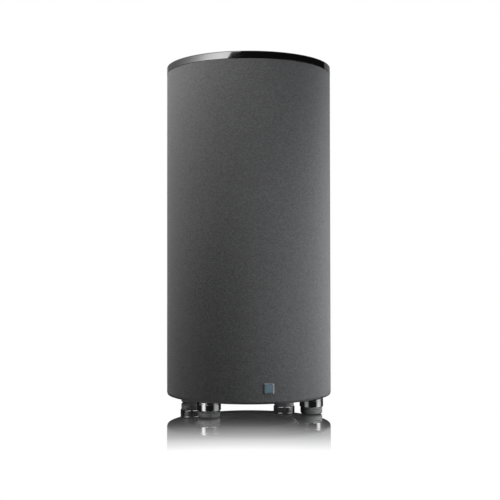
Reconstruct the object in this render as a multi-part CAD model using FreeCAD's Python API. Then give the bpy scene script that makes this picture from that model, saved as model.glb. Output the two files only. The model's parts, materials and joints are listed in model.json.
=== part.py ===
# Cylinder subwoofer: down-firing 12 inch woofer, port through the top, rear plate amplifier.
# Millimetres, +Z up, cabinet front towards -Y, origin on the floor plane under the cabinet axis.
# The woofer's own front faces down, the amplifier's outer face is towards +Y.
import FreeCAD, Part
import math
import os
from FreeCAD import Vector as V

os.makedirs("parts", exist_ok=True)

# ---------------------------------------------------------------- driving dimensions
COVER_R = 210.0          # outside of the knitted cover and of the top cap
HEIGHT = 872.5           # floor to the top face of the cap
FOOT_H = 38.5            # floor to the underside of the cabinet
CAP_T = 18.0             # visible edge of the gloss top cap
CAP_ROUND = 2.0
COVER_T = 1.0            # knitted cover
TUBE_T = 12.0            # wound fibreboard tube wall
LIP_T = 4.0              # edge of the base baffle seen under the cover
BASE_T = 32.0
GAP = 0.1                # assembly gap between glued parts

CAP_Z0 = HEIGHT - CAP_T
LIP_Z1 = FOOT_H + LIP_T
BASE_Z1 = FOOT_H + BASE_T
TUBE_R = COVER_R - COVER_T - GAP
TUBE_BORE = TUBE_R - TUBE_T
LINED_R = TUBE_BORE - GAP    # discs that fit inside the tube

PORT_R = 50.0            # inside radius
PORT_T = 3.0
PORT_Z0 = 455.0          # where the outside of the lower bell ends
PORT_Z1 = CAP_Z0 - 2.6   # joint between port tube and flare
PORT_HOLE_R = PORT_R + PORT_T + GAP
FLARE_R = 25.0           # how far the upper mouth opens out
FLARE_LIP_R = PORT_R + FLARE_R + 6.0

FLANGE_R = 152.0         # woofer frame
CUTOUT_R = 139.5
FLANGE_Z = 44.0          # face of the woofer flange
FLANGE_T = 5.0

FOOT_PITCH_R = 181.5     # feet centres from the axis
FOOT_XY = FOOT_PITCH_R / math.sqrt(2.0)
FEET = {
    "front_left": (-FOOT_XY, -FOOT_XY),
    "front_right": (FOOT_XY, -FOOT_XY),
    "rear_left": (-FOOT_XY, FOOT_XY),
    "rear_right": (FOOT_XY, FOOT_XY),
}
STUD_R = 4.0             # M8 stud
INSERT_R = 7.0

AMP_HALF_W = 112.0       # amplifier bezel
AMP_Z0, AMP_Z1 = 96.0, 392.0

VIA = "via"              # marks the point an arc passes through in an outline


# ---------------------------------------------------------------- helpers
def disc(radius, z0, z1, x=0.0, y=0.0):
    return Part.makeCylinder(radius, z1 - z0, V(x, y, z0), V(0, 0, 1))


def disc_y(radius, y0, y1, x, z):
    return Part.makeCylinder(radius, y1 - y0, V(x, y0, z), V(0, 1, 0))


def ring(outer, inner, z0, z1, x=0.0, y=0.0):
    return disc(outer, z0, z1, x, y).cut(disc(inner, z0 - 1, z1 + 1, x, y))


def ring_y(outer, inner, y0, y1, x, z):
    return disc_y(outer, y0, y1, x, z).cut(disc_y(inner, y0 - 1, y1 + 1, x, z))


def box(x0, x1, y0, y1, z0, z1):
    return Part.makeBox(x1 - x0, y1 - y0, z1 - z0, V(x0, y0, z0))


def box_at(centre, half_x, half_z, y0, y1):
    """Box centred on an (x, z) place."""
    x, z = centre
    return box(x - half_x, x + half_x, y0, y1, z - half_z, z + half_z)


def edges_along_y(shape):
    """Straight edges that run in depth."""
    return [e for e in shape.Edges if e.Curve.TypeId == "Part::GeomLine"
            and abs(e.Vertexes[0].Point.y - e.Vertexes[1].Point.y) > 0.5]


def rounded_box(x0, x1, y0, y1, z0, z1, radius):
    block = box(x0, x1, y0, y1, z0, z1)
    return block.makeFillet(radius, edges_along_y(block))


def rims(shape, radius, level, axis="z"):
    """Circular edges of one radius whose centre lies at a level along the axis."""
    return [e for e in shape.Edges if e.Curve.TypeId == "Part::GeomCircle"
            and abs(e.Curve.Radius - radius) < 0.05
            and abs(getattr(e.Curve.Center, axis) - level) < 0.05]


def polygon_face(points):
    return Part.Face(Part.makePolygon(points))


def revolve(points, angle=360.0, x=0.0, y=0.0):
    """Revolves a closed (r, z) polygon about the vertical line through x, y."""
    corners = [V(x + r, y, z) for r, z in points]
    return polygon_face(corners + corners[:1]).revolve(V(x, y, 0), V(0, 0, 1), angle)


def revolve_outline(outline):
    """Revolves a closed (r, z) outline; a (r, z, VIA) entry bends its side into an arc."""
    edges = []
    start = V(outline[0][0], 0, outline[0][1])
    via = None
    for point in outline[1:] + outline[:1]:
        end = V(point[0], 0, point[1])
        if len(point) == 3:
            via = end
            continue
        edges.append(Part.Arc(start, via, end).toShape() if via else Part.makeLine(start, end))
        start, via = end, None
    face = Part.Face(Part.Wire(Part.__sortEdges__(edges)))
    return face.revolve(V(0, 0, 0), V(0, 0, 1), 360)


def hex_prism(radius, centre, across, up, depth):
    """Hexagon in the plane of two unit vectors, extruded by a vector."""
    corners = []
    for i in range(7):
        angle = math.radians(60 * i)
        corners.append(centre + across * (radius * math.cos(angle)) + up * (radius * math.sin(angle)))
    return polygon_face(corners).extrude(depth)


def turn(shape, degrees, centre=V(0, 0, 0), axis=V(0, 0, 1)):
    turned = shape.copy()
    turned.rotate(centre, axis, degrees)
    return turned


def fuse(shapes):
    return shapes[0].multiFuse(shapes[1:]).removeSplitter()


def drill_y(shape, radius, y0, y1, places):
    for x, z in places:
        shape = shape.cut(disc_y(radius, y0, y1, x, z))
    return shape


def sweep(points, radius):
    """Round wire along a smooth curve through the points."""
    curve = Part.BSplineCurve()
    curve.interpolate([V(*point) for point in points])
    path = Part.Wire(curve.toShape())
    section = Part.Wire(Part.makeCircle(radius, V(*points[0]), curve.tangent(0)[0]))
    pipe = path.makePipeShell([section], True, True)
    # the pipe may come back as a shell
    return pipe if pipe.ShapeType == "Solid" else Part.Solid(pipe)


def save(name, shape):
    shapes = shape if isinstance(shape, list) else [shape]
    solids = [solid for item in shapes for solid in item.Solids]
    out = solids[0] if len(solids) == 1 else Part.makeCompound(solids)
    out.exportStep("parts/%s.step" % name)


# ---------------------------------------------------------------- cabinet
BULKHEAD_Z0 = CAP_Z0 - 22.0
BRACE_Z0, BRACE_Z1 = 500.0, 518.0
SCREW_PITCH_R = 145.6    # woofer screws
WOOFER_SCREWS = [(SCREW_PITCH_R * math.cos(math.radians(22.5 + 45 * i)),
                  SCREW_PITCH_R * math.sin(math.radians(22.5 + 45 * i))) for i in range(8)]


def amp_block(margin=0.0):
    """Outer block of the amplifier bezel, grown by a margin where it is a cutter."""
    half = AMP_HALF_W + margin
    return rounded_box(-half, half, 120, 260, AMP_Z0 - margin, AMP_Z1 + margin, 9.0 + margin)


AMP_OPENING = amp_block(0.3)


def cabinet_tube():
    return ring(TUBE_R, TUBE_BORE, LIP_Z1 + GAP, CAP_Z0 - GAP).cut(AMP_OPENING)


def knit_cover():
    return ring(COVER_R, COVER_R - COVER_T, LIP_Z1 + GAP, CAP_Z0 - GAP).cut(AMP_OPENING)


def top_cap():
    cap = ring(COVER_R, FLARE_LIP_R + 0.3, CAP_Z0, HEIGHT)
    cap = cap.makeFillet(CAP_ROUND, rims(cap, COVER_R, HEIGHT))
    return cap.makeChamfer(0.6, rims(cap, COVER_R, CAP_Z0))


def top_bulkhead():
    bulkhead = ring(LINED_R, PORT_HOLE_R, BULKHEAD_Z0, CAP_Z0 - GAP)
    return bulkhead.cut(disc(58.0, PORT_Z1, CAP_Z0 + 5))


def base_baffle():
    base = disc(TUBE_R, FOOT_H, LIP_Z1).fuse(disc(LINED_R, LIP_Z1, BASE_Z1)).removeSplitter()
    base = base.cut(disc(CUTOUT_R, 0, 200))
    base = base.cut(disc(FLANGE_R + 0.3, 0, FLANGE_Z + FLANGE_T + GAP))
    for x, y in FEET.values():
        base = base.cut(disc(INSERT_R + GAP, 0, 200, x, y))
    for x, y in WOOFER_SCREWS:
        base = base.cut(disc(2.45, 40, BASE_Z1 - 4, x, y))
    return base.makeChamfer(1.2, rims(base, TUBE_R, FOOT_H))


def port_brace():
    """Rim and hub joined by four arms; the hub carries the lower end of the port."""
    rim = ring(LINED_R, 158.0, BRACE_Z0, BRACE_Z1)
    hub = ring(78.0, PORT_HOLE_R, BRACE_Z0, BRACE_Z1)
    hole = disc(PORT_HOLE_R, BRACE_Z0 - 1, BRACE_Z1 + 1)
    arm = box(70, 165, -21, 21, BRACE_Z0, BRACE_Z1)
    return fuse([rim, hub] + [turn(arm, angle).cut(hole) for angle in (45, 135, 225, 315)])


def damping_liner():
    """Two rings, below and above the brace, open behind the amplifier."""
    clearance = box(-AMP_HALF_W - 6, AMP_HALF_W + 6, 60, 260, 80, AMP_Z1 + 8)
    spans = ((128.0, BRACE_Z0 - 4), (BRACE_Z1 + 4, BULKHEAD_Z0 - 5))
    return [ring(TUBE_BORE - 0.6, TUBE_BORE - 24.0, z0, z1).cut(clearance) for z0, z1 in spans]


# ---------------------------------------------------------------- badge
BADGE_HALF = 24.2 / 2
BADGE_Z = 75.3


def badge_box(margin, y0, y1):
    """Square block on the badge centre, inset by a margin; y is from the cover's front."""
    half = BADGE_HALF - margin
    return box_at((0.0, BADGE_Z), half, half, y0 - COVER_R, y1 - COVER_R)


def badge_frame():
    """Frame with a curved back that follows the cover."""
    frame = badge_box(0.0, -2.2, 3.0).cut(disc(COVER_R + GAP, 0, 200))
    frame = frame.cut(badge_box(1.9, -3.0, -1.0))
    corners = [e for e in edges_along_y(frame)
               if abs(abs(e.Vertexes[0].Point.x) - BADGE_HALF) < 0.01]
    return frame.makeFillet(1.4, corners)


def badge_face():
    return badge_box(2.0, -1.9, -1.05)


# ---------------------------------------------------------------- port
def port_tube():
    """Straight tube with a bell at its lower end."""
    bell = 22.0                   # bend radius on the outside of the wall
    inner_bell = bell + PORT_T
    outside = PORT_R + PORT_T
    bend_z = PORT_Z0 + bell
    sin45 = math.sin(math.radians(45))
    return revolve_outline([
        (PORT_R, PORT_Z1),
        (outside, PORT_Z1),
        (outside, bend_z),
        (outside + bell * (1 - sin45), bend_z - bell * sin45, VIA),
        (outside + bell, PORT_Z0),
        (outside + bell, PORT_Z0 - PORT_T),
        (PORT_R + inner_bell * (1 - sin45), bend_z - inner_bell * sin45, VIA),
        (PORT_R, bend_z),
    ])


def port_flare():
    """Curved mouth with a flat lip and a short skirt."""
    bottom = PORT_Z1 + 0.2
    top = HEIGHT - 0.2
    under = HEIGHT - 3.4
    mouth = PORT_R + FLARE_R - 4
    skirt = FLARE_LIP_R - 4.0
    return revolve_outline([
        (PORT_R + 0.2, bottom),
        (PORT_R + 7.0, HEIGHT - 7.0, VIA),
        (mouth, top),
        (FLARE_LIP_R, top),
        (FLARE_LIP_R, CAP_Z0 + 0.2),
        (skirt, CAP_Z0 + 0.2),
        (skirt, under),
        (mouth, under),
        (PORT_R + 11.6, HEIGHT - 8.8, VIA),
        (PORT_R + 5.2, bottom),
    ])


# ---------------------------------------------------------------- woofer
ROLL_R = 12.0            # surround half roll, mid thickness
ROLL_CENTRE_R = 116.0
SURROUND_T = 1.6
SURROUND_Z1 = FLANGE_Z - GAP
CONE_R = 104.0
CONE_Z = SURROUND_Z1 + GAP   # front land of the cone sits on the surround
CONE_SLOPE_R = 96.0      # where the front land meets the slope
NECK_R = 37.9
NECK_Z = 96.0
NECK_T = 2.0
COIL_R = 37.2            # inside radius of the voice coil former
GAP_Z0, GAP_Z1 = 128.0, 140.0    # magnetic gap
MAGNET_R = 92.0
MAGNET_Z1 = 180.0
YOKE_Z1 = 192.0
LEDGE_Z0, LEDGE_Z1 = 99.4, 103.4     # basket ledge under the spider
TERMINAL_ANGLE = 150.0
LEAD_OFFSETS = (-6.0, 6.0)

# (r, z) section: flange, outer wall inward to the motor seat, then back along the inside
BASKET_OUTLINE = [
    (128.0, FLANGE_Z), (FLANGE_R, FLANGE_Z),
    (FLANGE_R, FLANGE_Z + FLANGE_T), (139.0, FLANGE_Z + FLANGE_T),
    (139.0, 58.0), (101.5, 103.5), (91.0, 122.0), (91.0, 127.9),
    (60.0, 127.9), (60.0, 122.0), (85.0, 122.0), (96.5, LEDGE_Z1),
    (86.0, LEDGE_Z1), (86.0, LEDGE_Z0), (97.5, LEDGE_Z0), (133.5, 57.0),
    (133.5, FLANGE_Z + 3.6), (128.0, FLANGE_Z + 3.6),
]


def sector(r0, r1, z0, z1, middle, width):
    """Part ring, width degrees wide, centred on the middle angle."""
    part = revolve([(r0, z0), (r1, z0), (r1, z1), (r0, z1)], width)
    return turn(part, middle - width / 2.0)


def at_angle(radius, offset, z, degrees):
    """Point at a radius and angle, offset sideways from that radius line."""
    cos, sin = math.cos(math.radians(degrees)), math.sin(math.radians(degrees))
    return (radius * cos - offset * sin, radius * sin + offset * cos, z)


def woofer_basket():
    basket = revolve(BASKET_OUTLINE)
    for i in range(6):
        middle = 30 + 60 * i
        basket = basket.cut(sector(98.5, 150, 60.0, 97.0, middle, 42))
        basket = basket.cut(sector(86.5, 120, 106.0, 119.5, middle, 36))
    # lug that holds the terminals, with a clear space below it
    lug = turn(box(94.0, 118.0, -15, 15, 99.5, 103.3), TERMINAL_ANGLE)
    basket = basket.cut(turn(box(94.0, 125.0, -14, 14, 88.0, 99.5), TERMINAL_ANGLE))
    basket = fuse([basket, lug.cut(disc(90, 90, 110))])
    for x, y in WOOFER_SCREWS:
        basket = basket.cut(disc(2.75, 30, 60, x, y))
    return basket


def woofer_trim_ring():
    radius, z0 = 139.4, FLANGE_Z - 4.2
    trim = ring(radius, 130.2, z0, FLANGE_Z - 2.1)
    return trim.makeChamfer(0.7, rims(trim, radius, z0))


def woofer_surround():
    """Two flat lands joined by a half roll that bulges downwards."""
    outer, inner = 138.0, 97.0
    top, bottom = SURROUND_Z1, SURROUND_Z1 - SURROUND_T
    upper_roll = ROLL_R - SURROUND_T / 2
    lower_roll = upper_roll + SURROUND_T
    return revolve_outline([
        (outer, bottom),
        (outer, top),
        (ROLL_CENTRE_R + upper_roll, top),
        (ROLL_CENTRE_R, top - upper_roll, VIA),
        (ROLL_CENTRE_R - upper_roll, top),
        (inner, top),
        (inner, bottom),
        (ROLL_CENTRE_R - lower_roll, bottom),
        (ROLL_CENTRE_R, top - lower_roll, VIA),
        (ROLL_CENTRE_R + lower_roll, bottom),
    ])


def woofer_cone():
    rim = CONE_R - 0.6
    return revolve([(CONE_SLOPE_R, CONE_Z), (rim, CONE_Z), (rim, CONE_Z + 1.8),
                    (98.2, CONE_Z + 1.8), (NECK_R + 1.3, NECK_Z), (NECK_R, NECK_Z),
                    (NECK_R, NECK_Z - NECK_T)])


def woofer_dust_cap():
    """Spherical dome glued to the front of the cone."""
    radius, height, thickness = 55.0, 16.0, 1.2
    slope = (NECK_Z - NECK_T - CONE_Z) / (CONE_SLOPE_R - NECK_R)
    rim_z = CONE_Z + (CONE_SLOPE_R - radius) * slope - 0.6
    sphere_r = (radius ** 2 + height ** 2) / (2 * height)
    centre_z = rim_z - height + sphere_r

    def front(r):
        return (r, centre_z - math.sqrt(sphere_r ** 2 - r * r))

    def back(r):
        return (r, centre_z - math.sqrt((sphere_r - thickness) ** 2 - r * r))

    edge = radius - 0.7
    middle = radius * 0.52
    return revolve_outline([front(0), back(0), back(middle) + (VIA,), back(edge - 0.8),
                            front(edge), front(middle) + (VIA,)])


def voice_coil_former():
    return ring(COIL_R + 0.5, COIL_R, 91.0, 153.0)


def voice_coil():
    return ring(COIL_R + 3.2, COIL_R + 0.55, 117.0, 151.0)


def woofer_spider():
    """Corrugated disc from the former to the basket ledge, flat at both ends."""
    half_t = 0.4
    rest_z = LEDGE_Z1 + GAP + half_t
    inner, outer = COIL_R + 0.6, 97.0
    wave_r0, wave_r1 = inner + 3, 85.0
    waves, wave_height, fade = 5, 2.6, 4.0
    steps = 60
    middle = []
    for i in range(steps + 1):
        r = inner + (outer - inner) * i / steps
        z = rest_z
        if r <= 84.0:
            strength = min(1.0, max(0.0, (r - wave_r0) / fade))
            strength *= min(1.0, max(0.0, (wave_r1 - r) / fade))
            phase = 2 * math.pi * waves * (r - wave_r0) / (wave_r1 - wave_r0)
            z += wave_height * strength * math.sin(phase)
        middle.append((r, z))
    top = [(r, z + half_t) for r, z in middle]
    bottom = [(r, z - half_t) for r, z in middle]
    return revolve(top + bottom[::-1]).common(disc(95.8, 80, 130))


def motor_front_plate():
    return ring(88.0, COIL_R + 4.3, GAP_Z0, GAP_Z1)


def motor_magnet():
    z0 = GAP_Z1 + GAP
    magnet = ring(MAGNET_R, 50.0, z0, MAGNET_Z1)
    return magnet.makeChamfer(2.0, rims(magnet, MAGNET_R, MAGNET_Z1) + rims(magnet, MAGNET_R, z0))


def motor_pole_yoke():
    """Vented pole and back plate in one piece."""
    plate_z0 = MAGNET_Z1 + GAP
    return revolve([(14.0, 124.0), (34.0, 124.0), (36.2, 127.0), (36.2, 170.0),
                    (40.0, plate_z0), (86.0, plate_z0), (88.0, MAGNET_Z1 + 2.1),
                    (88.0, YOKE_Z1 - 2), (86.0, YOKE_Z1), (20.0, YOKE_Z1), (14.0, YOKE_Z1 - 6.0)])


def woofer_terminals():
    block = box(103.0, 114.0, -13, 13, 91.0, LEDGE_Z0).cut(box(110.5, 120, -9, 9, 93, 97))
    tabs = [box(114.1, 121.0, offset - 2.4, offset + 2.4, 94.6, 95.4) for offset in LEAD_OFFSETS]
    return [turn(shape, TERMINAL_ANGLE) for shape in [block] + tabs]


def tinsel_leads():
    # radius, factor on the sideways offset, z
    stations = ((102.5, 1.0, 95.0), (92, 1.05, 90.0), (76, 1.1, 88.5), (60, 1.0, 92.5),
                (47.0, 0.9, 93.0))
    return [sweep([at_angle(r, offset * factor, z, TERMINAL_ANGLE)
                   for r, factor, z in stations], 0.9) for offset in LEAD_OFFSETS]


def speaker_wires():
    """Pair from the terminals up to the amplifier back box."""
    # radius, z, degrees from the terminals
    stations = ((122.0, 95.0, 0), (131, 99.0, 0), (140, 118.0, -6), (138, 160.0, -12),
                (128.5, 200.0, -17))
    wires = []
    for offset in LEAD_OFFSETS:
        points = [at_angle(r, offset, z, TERMINAL_ANGLE + swing) for r, z, swing in stations]
        wires.append(sweep(points + [(-86.5, 122.0 + offset * 0.5, 222.0)], 1.3))
    return wires


def woofer_screws():
    head_r, head_z0 = 4.6, FLANGE_Z - 2.9
    screws = []
    for x, y in WOOFER_SCREWS:
        head = disc(head_r, head_z0, FLANGE_Z - 0.05, x, y)
        head = head.makeFillet(1.1, rims(head, head_r, head_z0))
        socket = hex_prism(1.75, V(x, y, FLANGE_Z - 3.5), V(1, 0, 0), V(0, 1, 0), V(0, 0, 2.2))
        screw = head.fuse(disc(2.35, FLANGE_Z - 0.1, FLANGE_Z + 20, x, y)).cut(socket)
        screws.append(screw.removeSplitter())
    return screws


# ---------------------------------------------------------------- feet
COLLAR_R = 29.0
PAD_R = 27.0
PAD_H = 17.5
STUD_Z1 = 66.0


def foot_pad(x, y):
    """Rounded pad with a groove round its side and a plug up into the collar."""
    pad = disc(PAD_R, 0, PAD_H, x, y)
    pad = pad.makeFillet(5.5, rims(pad, PAD_R, 0))
    groove = [(PAD_R - 0.9, 12.4), (PAD_R + 1, 11.6), (PAD_R + 1, 13.8), (PAD_R - 0.9, 13.0)]
    pad = pad.cut(revolve(groove, x=x, y=y))
    pad = pad.fuse(disc(21.6, PAD_H - 0.5, 29.6, x, y)).removeSplitter()
    return pad.cut(disc(9.6, 24.0, 31.0, x, y))


def foot_collar(x, y):
    z0 = PAD_H + GAP
    collar = disc(COLLAR_R, z0, FOOT_H, x, y)
    collar = collar.makeChamfer(1.3, rims(collar, COLLAR_R, z0) + rims(collar, COLLAR_R, FOOT_H))
    return collar.cut(disc(22.0, 0, 33.9, x, y)).cut(disc(STUD_R + 0.15, 0, 60, x, y))


def foot_stud(x, y):
    stud = fuse([disc(STUD_R, 31.0, STUD_Z1, x, y), disc(9.0, 30.0, 33.8, x, y)])
    return stud.makeChamfer(0.8, rims(stud, STUD_R, STUD_Z1))


def foot_inserts():
    """Sleeves in the base baffle, each with a flange on the baffle's top face."""
    bore = STUD_R + 0.1
    inserts = []
    for x, y in FEET.values():
        sleeve = ring(INSERT_R, bore, FOOT_H + 0.6, BASE_Z1 - 0.5, x, y)
        flange = ring(12.0, bore, BASE_Z1 + 0.1, BASE_Z1 + 1.6, x, y)
        neck = ring(INSERT_R, bore, BASE_Z1 - 1, BASE_Z1 + 1, x, y)
        inserts.append(sleeve.fuse(flange).fuse(neck).removeSplitter())
    return inserts


# ---------------------------------------------------------------- amplifier
PANEL_HALF_W = 96.0
PANEL_Z0, PANEL_Z1 = 111.0, 377.0
PANEL_Y = 184.0          # outer face of the amplifier plate
PANEL_T = 3.0
PANEL_BACK = PANEL_Y - PANEL_T
BODY_Y1 = PANEL_BACK - GAP   # parts that end behind the plate
SEAT_Y = PANEL_Y + 0.05      # parts that rest on the outer face
THROUGH = (100, 300)         # y span of cutters that go right through
BOARD_Y = 149.0          # component face of the circuit board
SOLDER_Y = BOARD_Y - 0.05    # where the components end
PIVOT_Y = 182.0          # power rocker axis

# places on the plate, (x, z)
KNOB_Z = 322.0
KNOBS = {"level_knob": -54.0, "lowpass_knob": 0.0, "phase_knob": 54.0}
PANEL_SCREWS = [(x, z) for x in (-90.0, 90.0) for z in (117.0, 201.7, 286.3, 371.0)]
PANEL_SCREWS += [(0.0, 117.0), (0.0, 371.0)]
RCA = [(-66.0, 268.0), (-66.0, 248.0), (-40.0, 268.0), (-40.0, 248.0)]
TRIGGER = (0.0, 258.0)
MODE = (54.0, 258.0)
LED = (0.0, 352.0)
INLET = (38.0, 146.0)
POWER = (-38.0, 146.0)


def amp_bezel():
    """Frame whose outside follows the cover, with a seat and opening for the plate."""
    bezel = amp_block().common(disc(COVER_R, 0, 600)).cut(box(-300, 300, 0, 158, 0, 600))
    seat_half = PANEL_HALF_W + 0.5
    bezel = bezel.cut(rounded_box(-seat_half, seat_half, PANEL_BACK - 1.6, 300,
                                  PANEL_Z0 - 0.5, PANEL_Z1 + 0.5, 5.5))
    bezel = bezel.cut(rounded_box(-84, 84, *THROUGH, 123, 365, 4.0))
    return drill_y(bezel, 1.6, 164, 200, PANEL_SCREWS)


def panel_sheet(y0, y1):
    return rounded_box(-PANEL_HALF_W, PANEL_HALF_W, y0, y1, PANEL_Z0, PANEL_Z1, 5.0)


def amp_gasket():
    gasket = panel_sheet(PANEL_BACK - 1.5, PANEL_BACK - 0.1)
    gasket = gasket.cut(rounded_box(-84.5, 84.5, *THROUGH, 122.5, 365.5, 4.0))
    return drill_y(gasket, 2.2, *THROUGH, PANEL_SCREWS)


def amp_panel():
    panel = drill_y(panel_sheet(PANEL_BACK, PANEL_Y), 2.2, *THROUGH, PANEL_SCREWS)
    panel = drill_y(panel, 4.7, *THROUGH, [(x, KNOB_Z) for x in KNOBS.values()])
    panel = drill_y(panel, 4.6, *THROUGH, RCA)
    panel = drill_y(panel, 3.2, *THROUGH, [TRIGGER])
    panel = panel.cut(box_at(MODE, 7.2, 2.9, *THROUGH))
    panel = drill_y(panel, 2.6, *THROUGH, [LED])
    x, z = INLET
    panel = panel.cut(box(x - 13.7, x + 13.7, *THROUGH, z - 15.2, z + 10.2))
    return panel.cut(box_at(POWER, 9.7, 13.7, *THROUGH))


def amp_screws():
    """Cross-head screws."""
    head_r, head_y1 = 3.7, PANEL_Y + 2.4
    slot_y = (PANEL_Y + 1.2, PANEL_Y + 5)
    screws = []
    for x, z in PANEL_SCREWS:
        head = disc_y(head_r, SEAT_Y, head_y1, x, z)
        head = head.makeFillet(0.9, rims(head, head_r, head_y1, "y"))
        screw = head.fuse(disc_y(1.55, 165.0, PANEL_Y + 1, x, z))
        cross = box_at((x, z), 2.0, 0.45, *slot_y).fuse(box_at((x, z), 0.45, 2.0, *slot_y))
        screws.append(screw.cut(cross).removeSplitter())
    return screws


def heat_sink():
    """Plate with vertical fins, behind the blank middle of the panel."""
    half, z0, z1 = 66, 176, 232
    fin_t, pitch = 2, 12
    starts = [-half + pitch * i for i in range(11)] + [half - fin_t]
    fins = [box(x, x + fin_t, 158.0, 175.5, z0, z1) for x in starts]
    return fuse([box(-half, half, 175.0, 180.8, z0, z1)] + fins)


def amp_back_box():
    """Tray open towards the panel, with a wire opening in its -X wall."""
    tray = rounded_box(-82, 82, 114.0, 180.7, 125, 363, 4.0)
    tray = tray.cut(rounded_box(-80.5, 80.5, 115.5, 200, 126.5, 361.5, 3.0))
    return tray.cut(box(-90, -78, 116.5, 131, 213, 231))


def amp_circuit_board():
    board = box(-74, 74, BOARD_Y, BOARD_Y + 1.6, 238, 350)
    return drill_y(board, 1.7, 100, 200, ((-70, 242), (70, 242), (-70, 346), (70, 346)))


def board_components():
    parts = []
    # round cans: x, z, radius, height
    for x, z, radius, height in ((-48, 270, 15.5, 31), (-12, 270, 15.5, 31), (-48, 312, 9, 22),
                                 (-24, 312, 9, 22), (0, 318, 6, 16), (14, 318, 6, 16)):
        can = disc_y(radius, BOARD_Y - height, SOLDER_Y, x, z)
        parts.append(can.makeFillet(0.8, rims(can, radius, BOARD_Y - height, "y")))
    for z in (262, 286):
        parts.append(ring_y(12, 5, 139, SOLDER_Y, 30, z))
    for x in (52, 62):
        for z in (256, 276, 296, 316):
            parts.append(box_at((x, z), 4, 7, 144.0, SOLDER_Y))
    parts.append(box(16, 40, 143.0, SOLDER_Y, 326, 344))
    return parts


def toroid_transformer():
    radius, y0, y1 = 43, 117.0, 151.0
    toroid = ring_y(radius, 14, y0, y1, 0, 181)
    return toroid.makeFillet(7.0, rims(toroid, radius, y1, "y") + rims(toroid, radius, y0, "y"))


def potentiometers():
    pots = []
    for x in KNOBS.values():
        pot = disc_y(8.5, 167.0, BODY_Y1, x, KNOB_Z)
        pot = pot.fuse(disc_y(4.5, 170.0, PANEL_Y + 3.2, x, KNOB_Z)).removeSplitter()
        pots.append(pot.cut(disc_y(3.05, 171.5, 220, x, KNOB_Z)))
    return pots


def knob(x):
    """Hollow knob with its shaft, a grooved grip and a pointer slot."""
    radius, groove_pitch_r, face_y = 11.0, 11.3, PANEL_Y + 16.0
    body = disc_y(radius, PANEL_Y + 1.0, face_y, x, KNOB_Z)
    body = body.makeFillet(1.2, rims(body, radius, face_y, "y"))
    body = body.cut(disc_y(7.6, PANEL_Y, PANEL_Y + 11.0, x, KNOB_Z))
    body = body.fuse(disc_y(3.0, 172.0, PANEL_Y + 13.0, x, KNOB_Z)).removeSplitter()
    angles = [math.radians(15 * i + 7.5) for i in range(24)]
    grooves = [(x + groove_pitch_r * math.cos(a), KNOB_Z + groove_pitch_r * math.sin(a))
               for a in angles]
    body = drill_y(body, 0.75, PANEL_Y + 0.5, PANEL_Y + 13.0, grooves)
    return body.cut(box(x - 0.6, x + 0.6, face_y - 0.7, face_y + 1, KNOB_Z + 3.5, KNOB_Z + 12))


def switch_bodies():
    x, z = POWER
    power = rounded_box(x - 11.5, x + 11.5, SEAT_Y, PANEL_Y + 2.0, z - 15.5, z + 15.5, 1.2)
    power = power.fuse(box_at(POWER, 9.5, 13.5, 163.0, PANEL_Y + 1))
    power = power.cut(box_at(POWER, 7.0, 11.3, 168.0, 200))
    pivot_hole = Part.makeCylinder(1.27, 16.4, V(x - 8.2, PIVOT_Y, z), V(1, 0, 0))
    power = power.cut(pivot_hole).removeSplitter()
    mode = box_at(MODE, 12, 5.5, 170.0, BODY_Y1).cut(box_at(MODE, 7.0, 2.6, 173.0, 190))
    return [power, mode]


def power_rocker():
    """Rocker with pivot pins, tipped to one side."""
    x, z = POWER
    # (y from the pivot, z from the centre)
    profile = ((-6.5, -3.0), (-6.5, 3.0), (1.0, 10.2), (4.6, 10.2), (2.9, 0.0), (4.6, -10.2),
               (1.0, -10.2))
    corners = [V(x - 6.6, PIVOT_Y + dy, z + dz) for dy, dz in profile]
    rocker = polygon_face(corners + corners[:1]).extrude(V(13.2, 0, 0))
    pin = Part.makeCylinder(1.2, 15.8, V(x - 7.9, PIVOT_Y, z), V(1, 0, 0))
    return turn(rocker.fuse(pin).removeSplitter(), 7.0, V(x, PIVOT_Y, z), V(1, 0, 0))


def mode_slider():
    x, z = MODE
    return box_at((x - 3.0, z), 2.2, 2.2, 174.0, PANEL_Y + 3.0)


def rca_jacks():
    jacks = []
    for x, z in RCA:
        jack = disc_y(6.4, SEAT_Y, PANEL_Y + 2.2, x, z)
        jack = jack.fuse(disc_y(4.15, 170.0, PANEL_Y + 9.5, x, z))
        jack = jack.cut(disc_y(3.2, PANEL_Y + 1.0, PANEL_Y + 20, x, z))
        jack = jack.fuse(ring_y(2.4, 1.6, PANEL_Y - 1, PANEL_Y + 8.3, x, z))
        jacks.append(jack.removeSplitter())
    return jacks


def trigger_jack():
    x, z = TRIGGER
    nut = hex_prism(4.9, V(x, SEAT_Y, z), V(1, 0, 0), V(0, 0, 1), V(0, 2.2, 0))
    jack = nut.fuse(disc_y(3.0, 170.0, PANEL_Y + 3.4, x, z))
    jack = jack.fuse(box_at(TRIGGER, 5, 6, 168.0, BODY_Y1))
    return jack.cut(disc_y(1.8, 172, 220, x, z)).removeSplitter()


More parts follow.
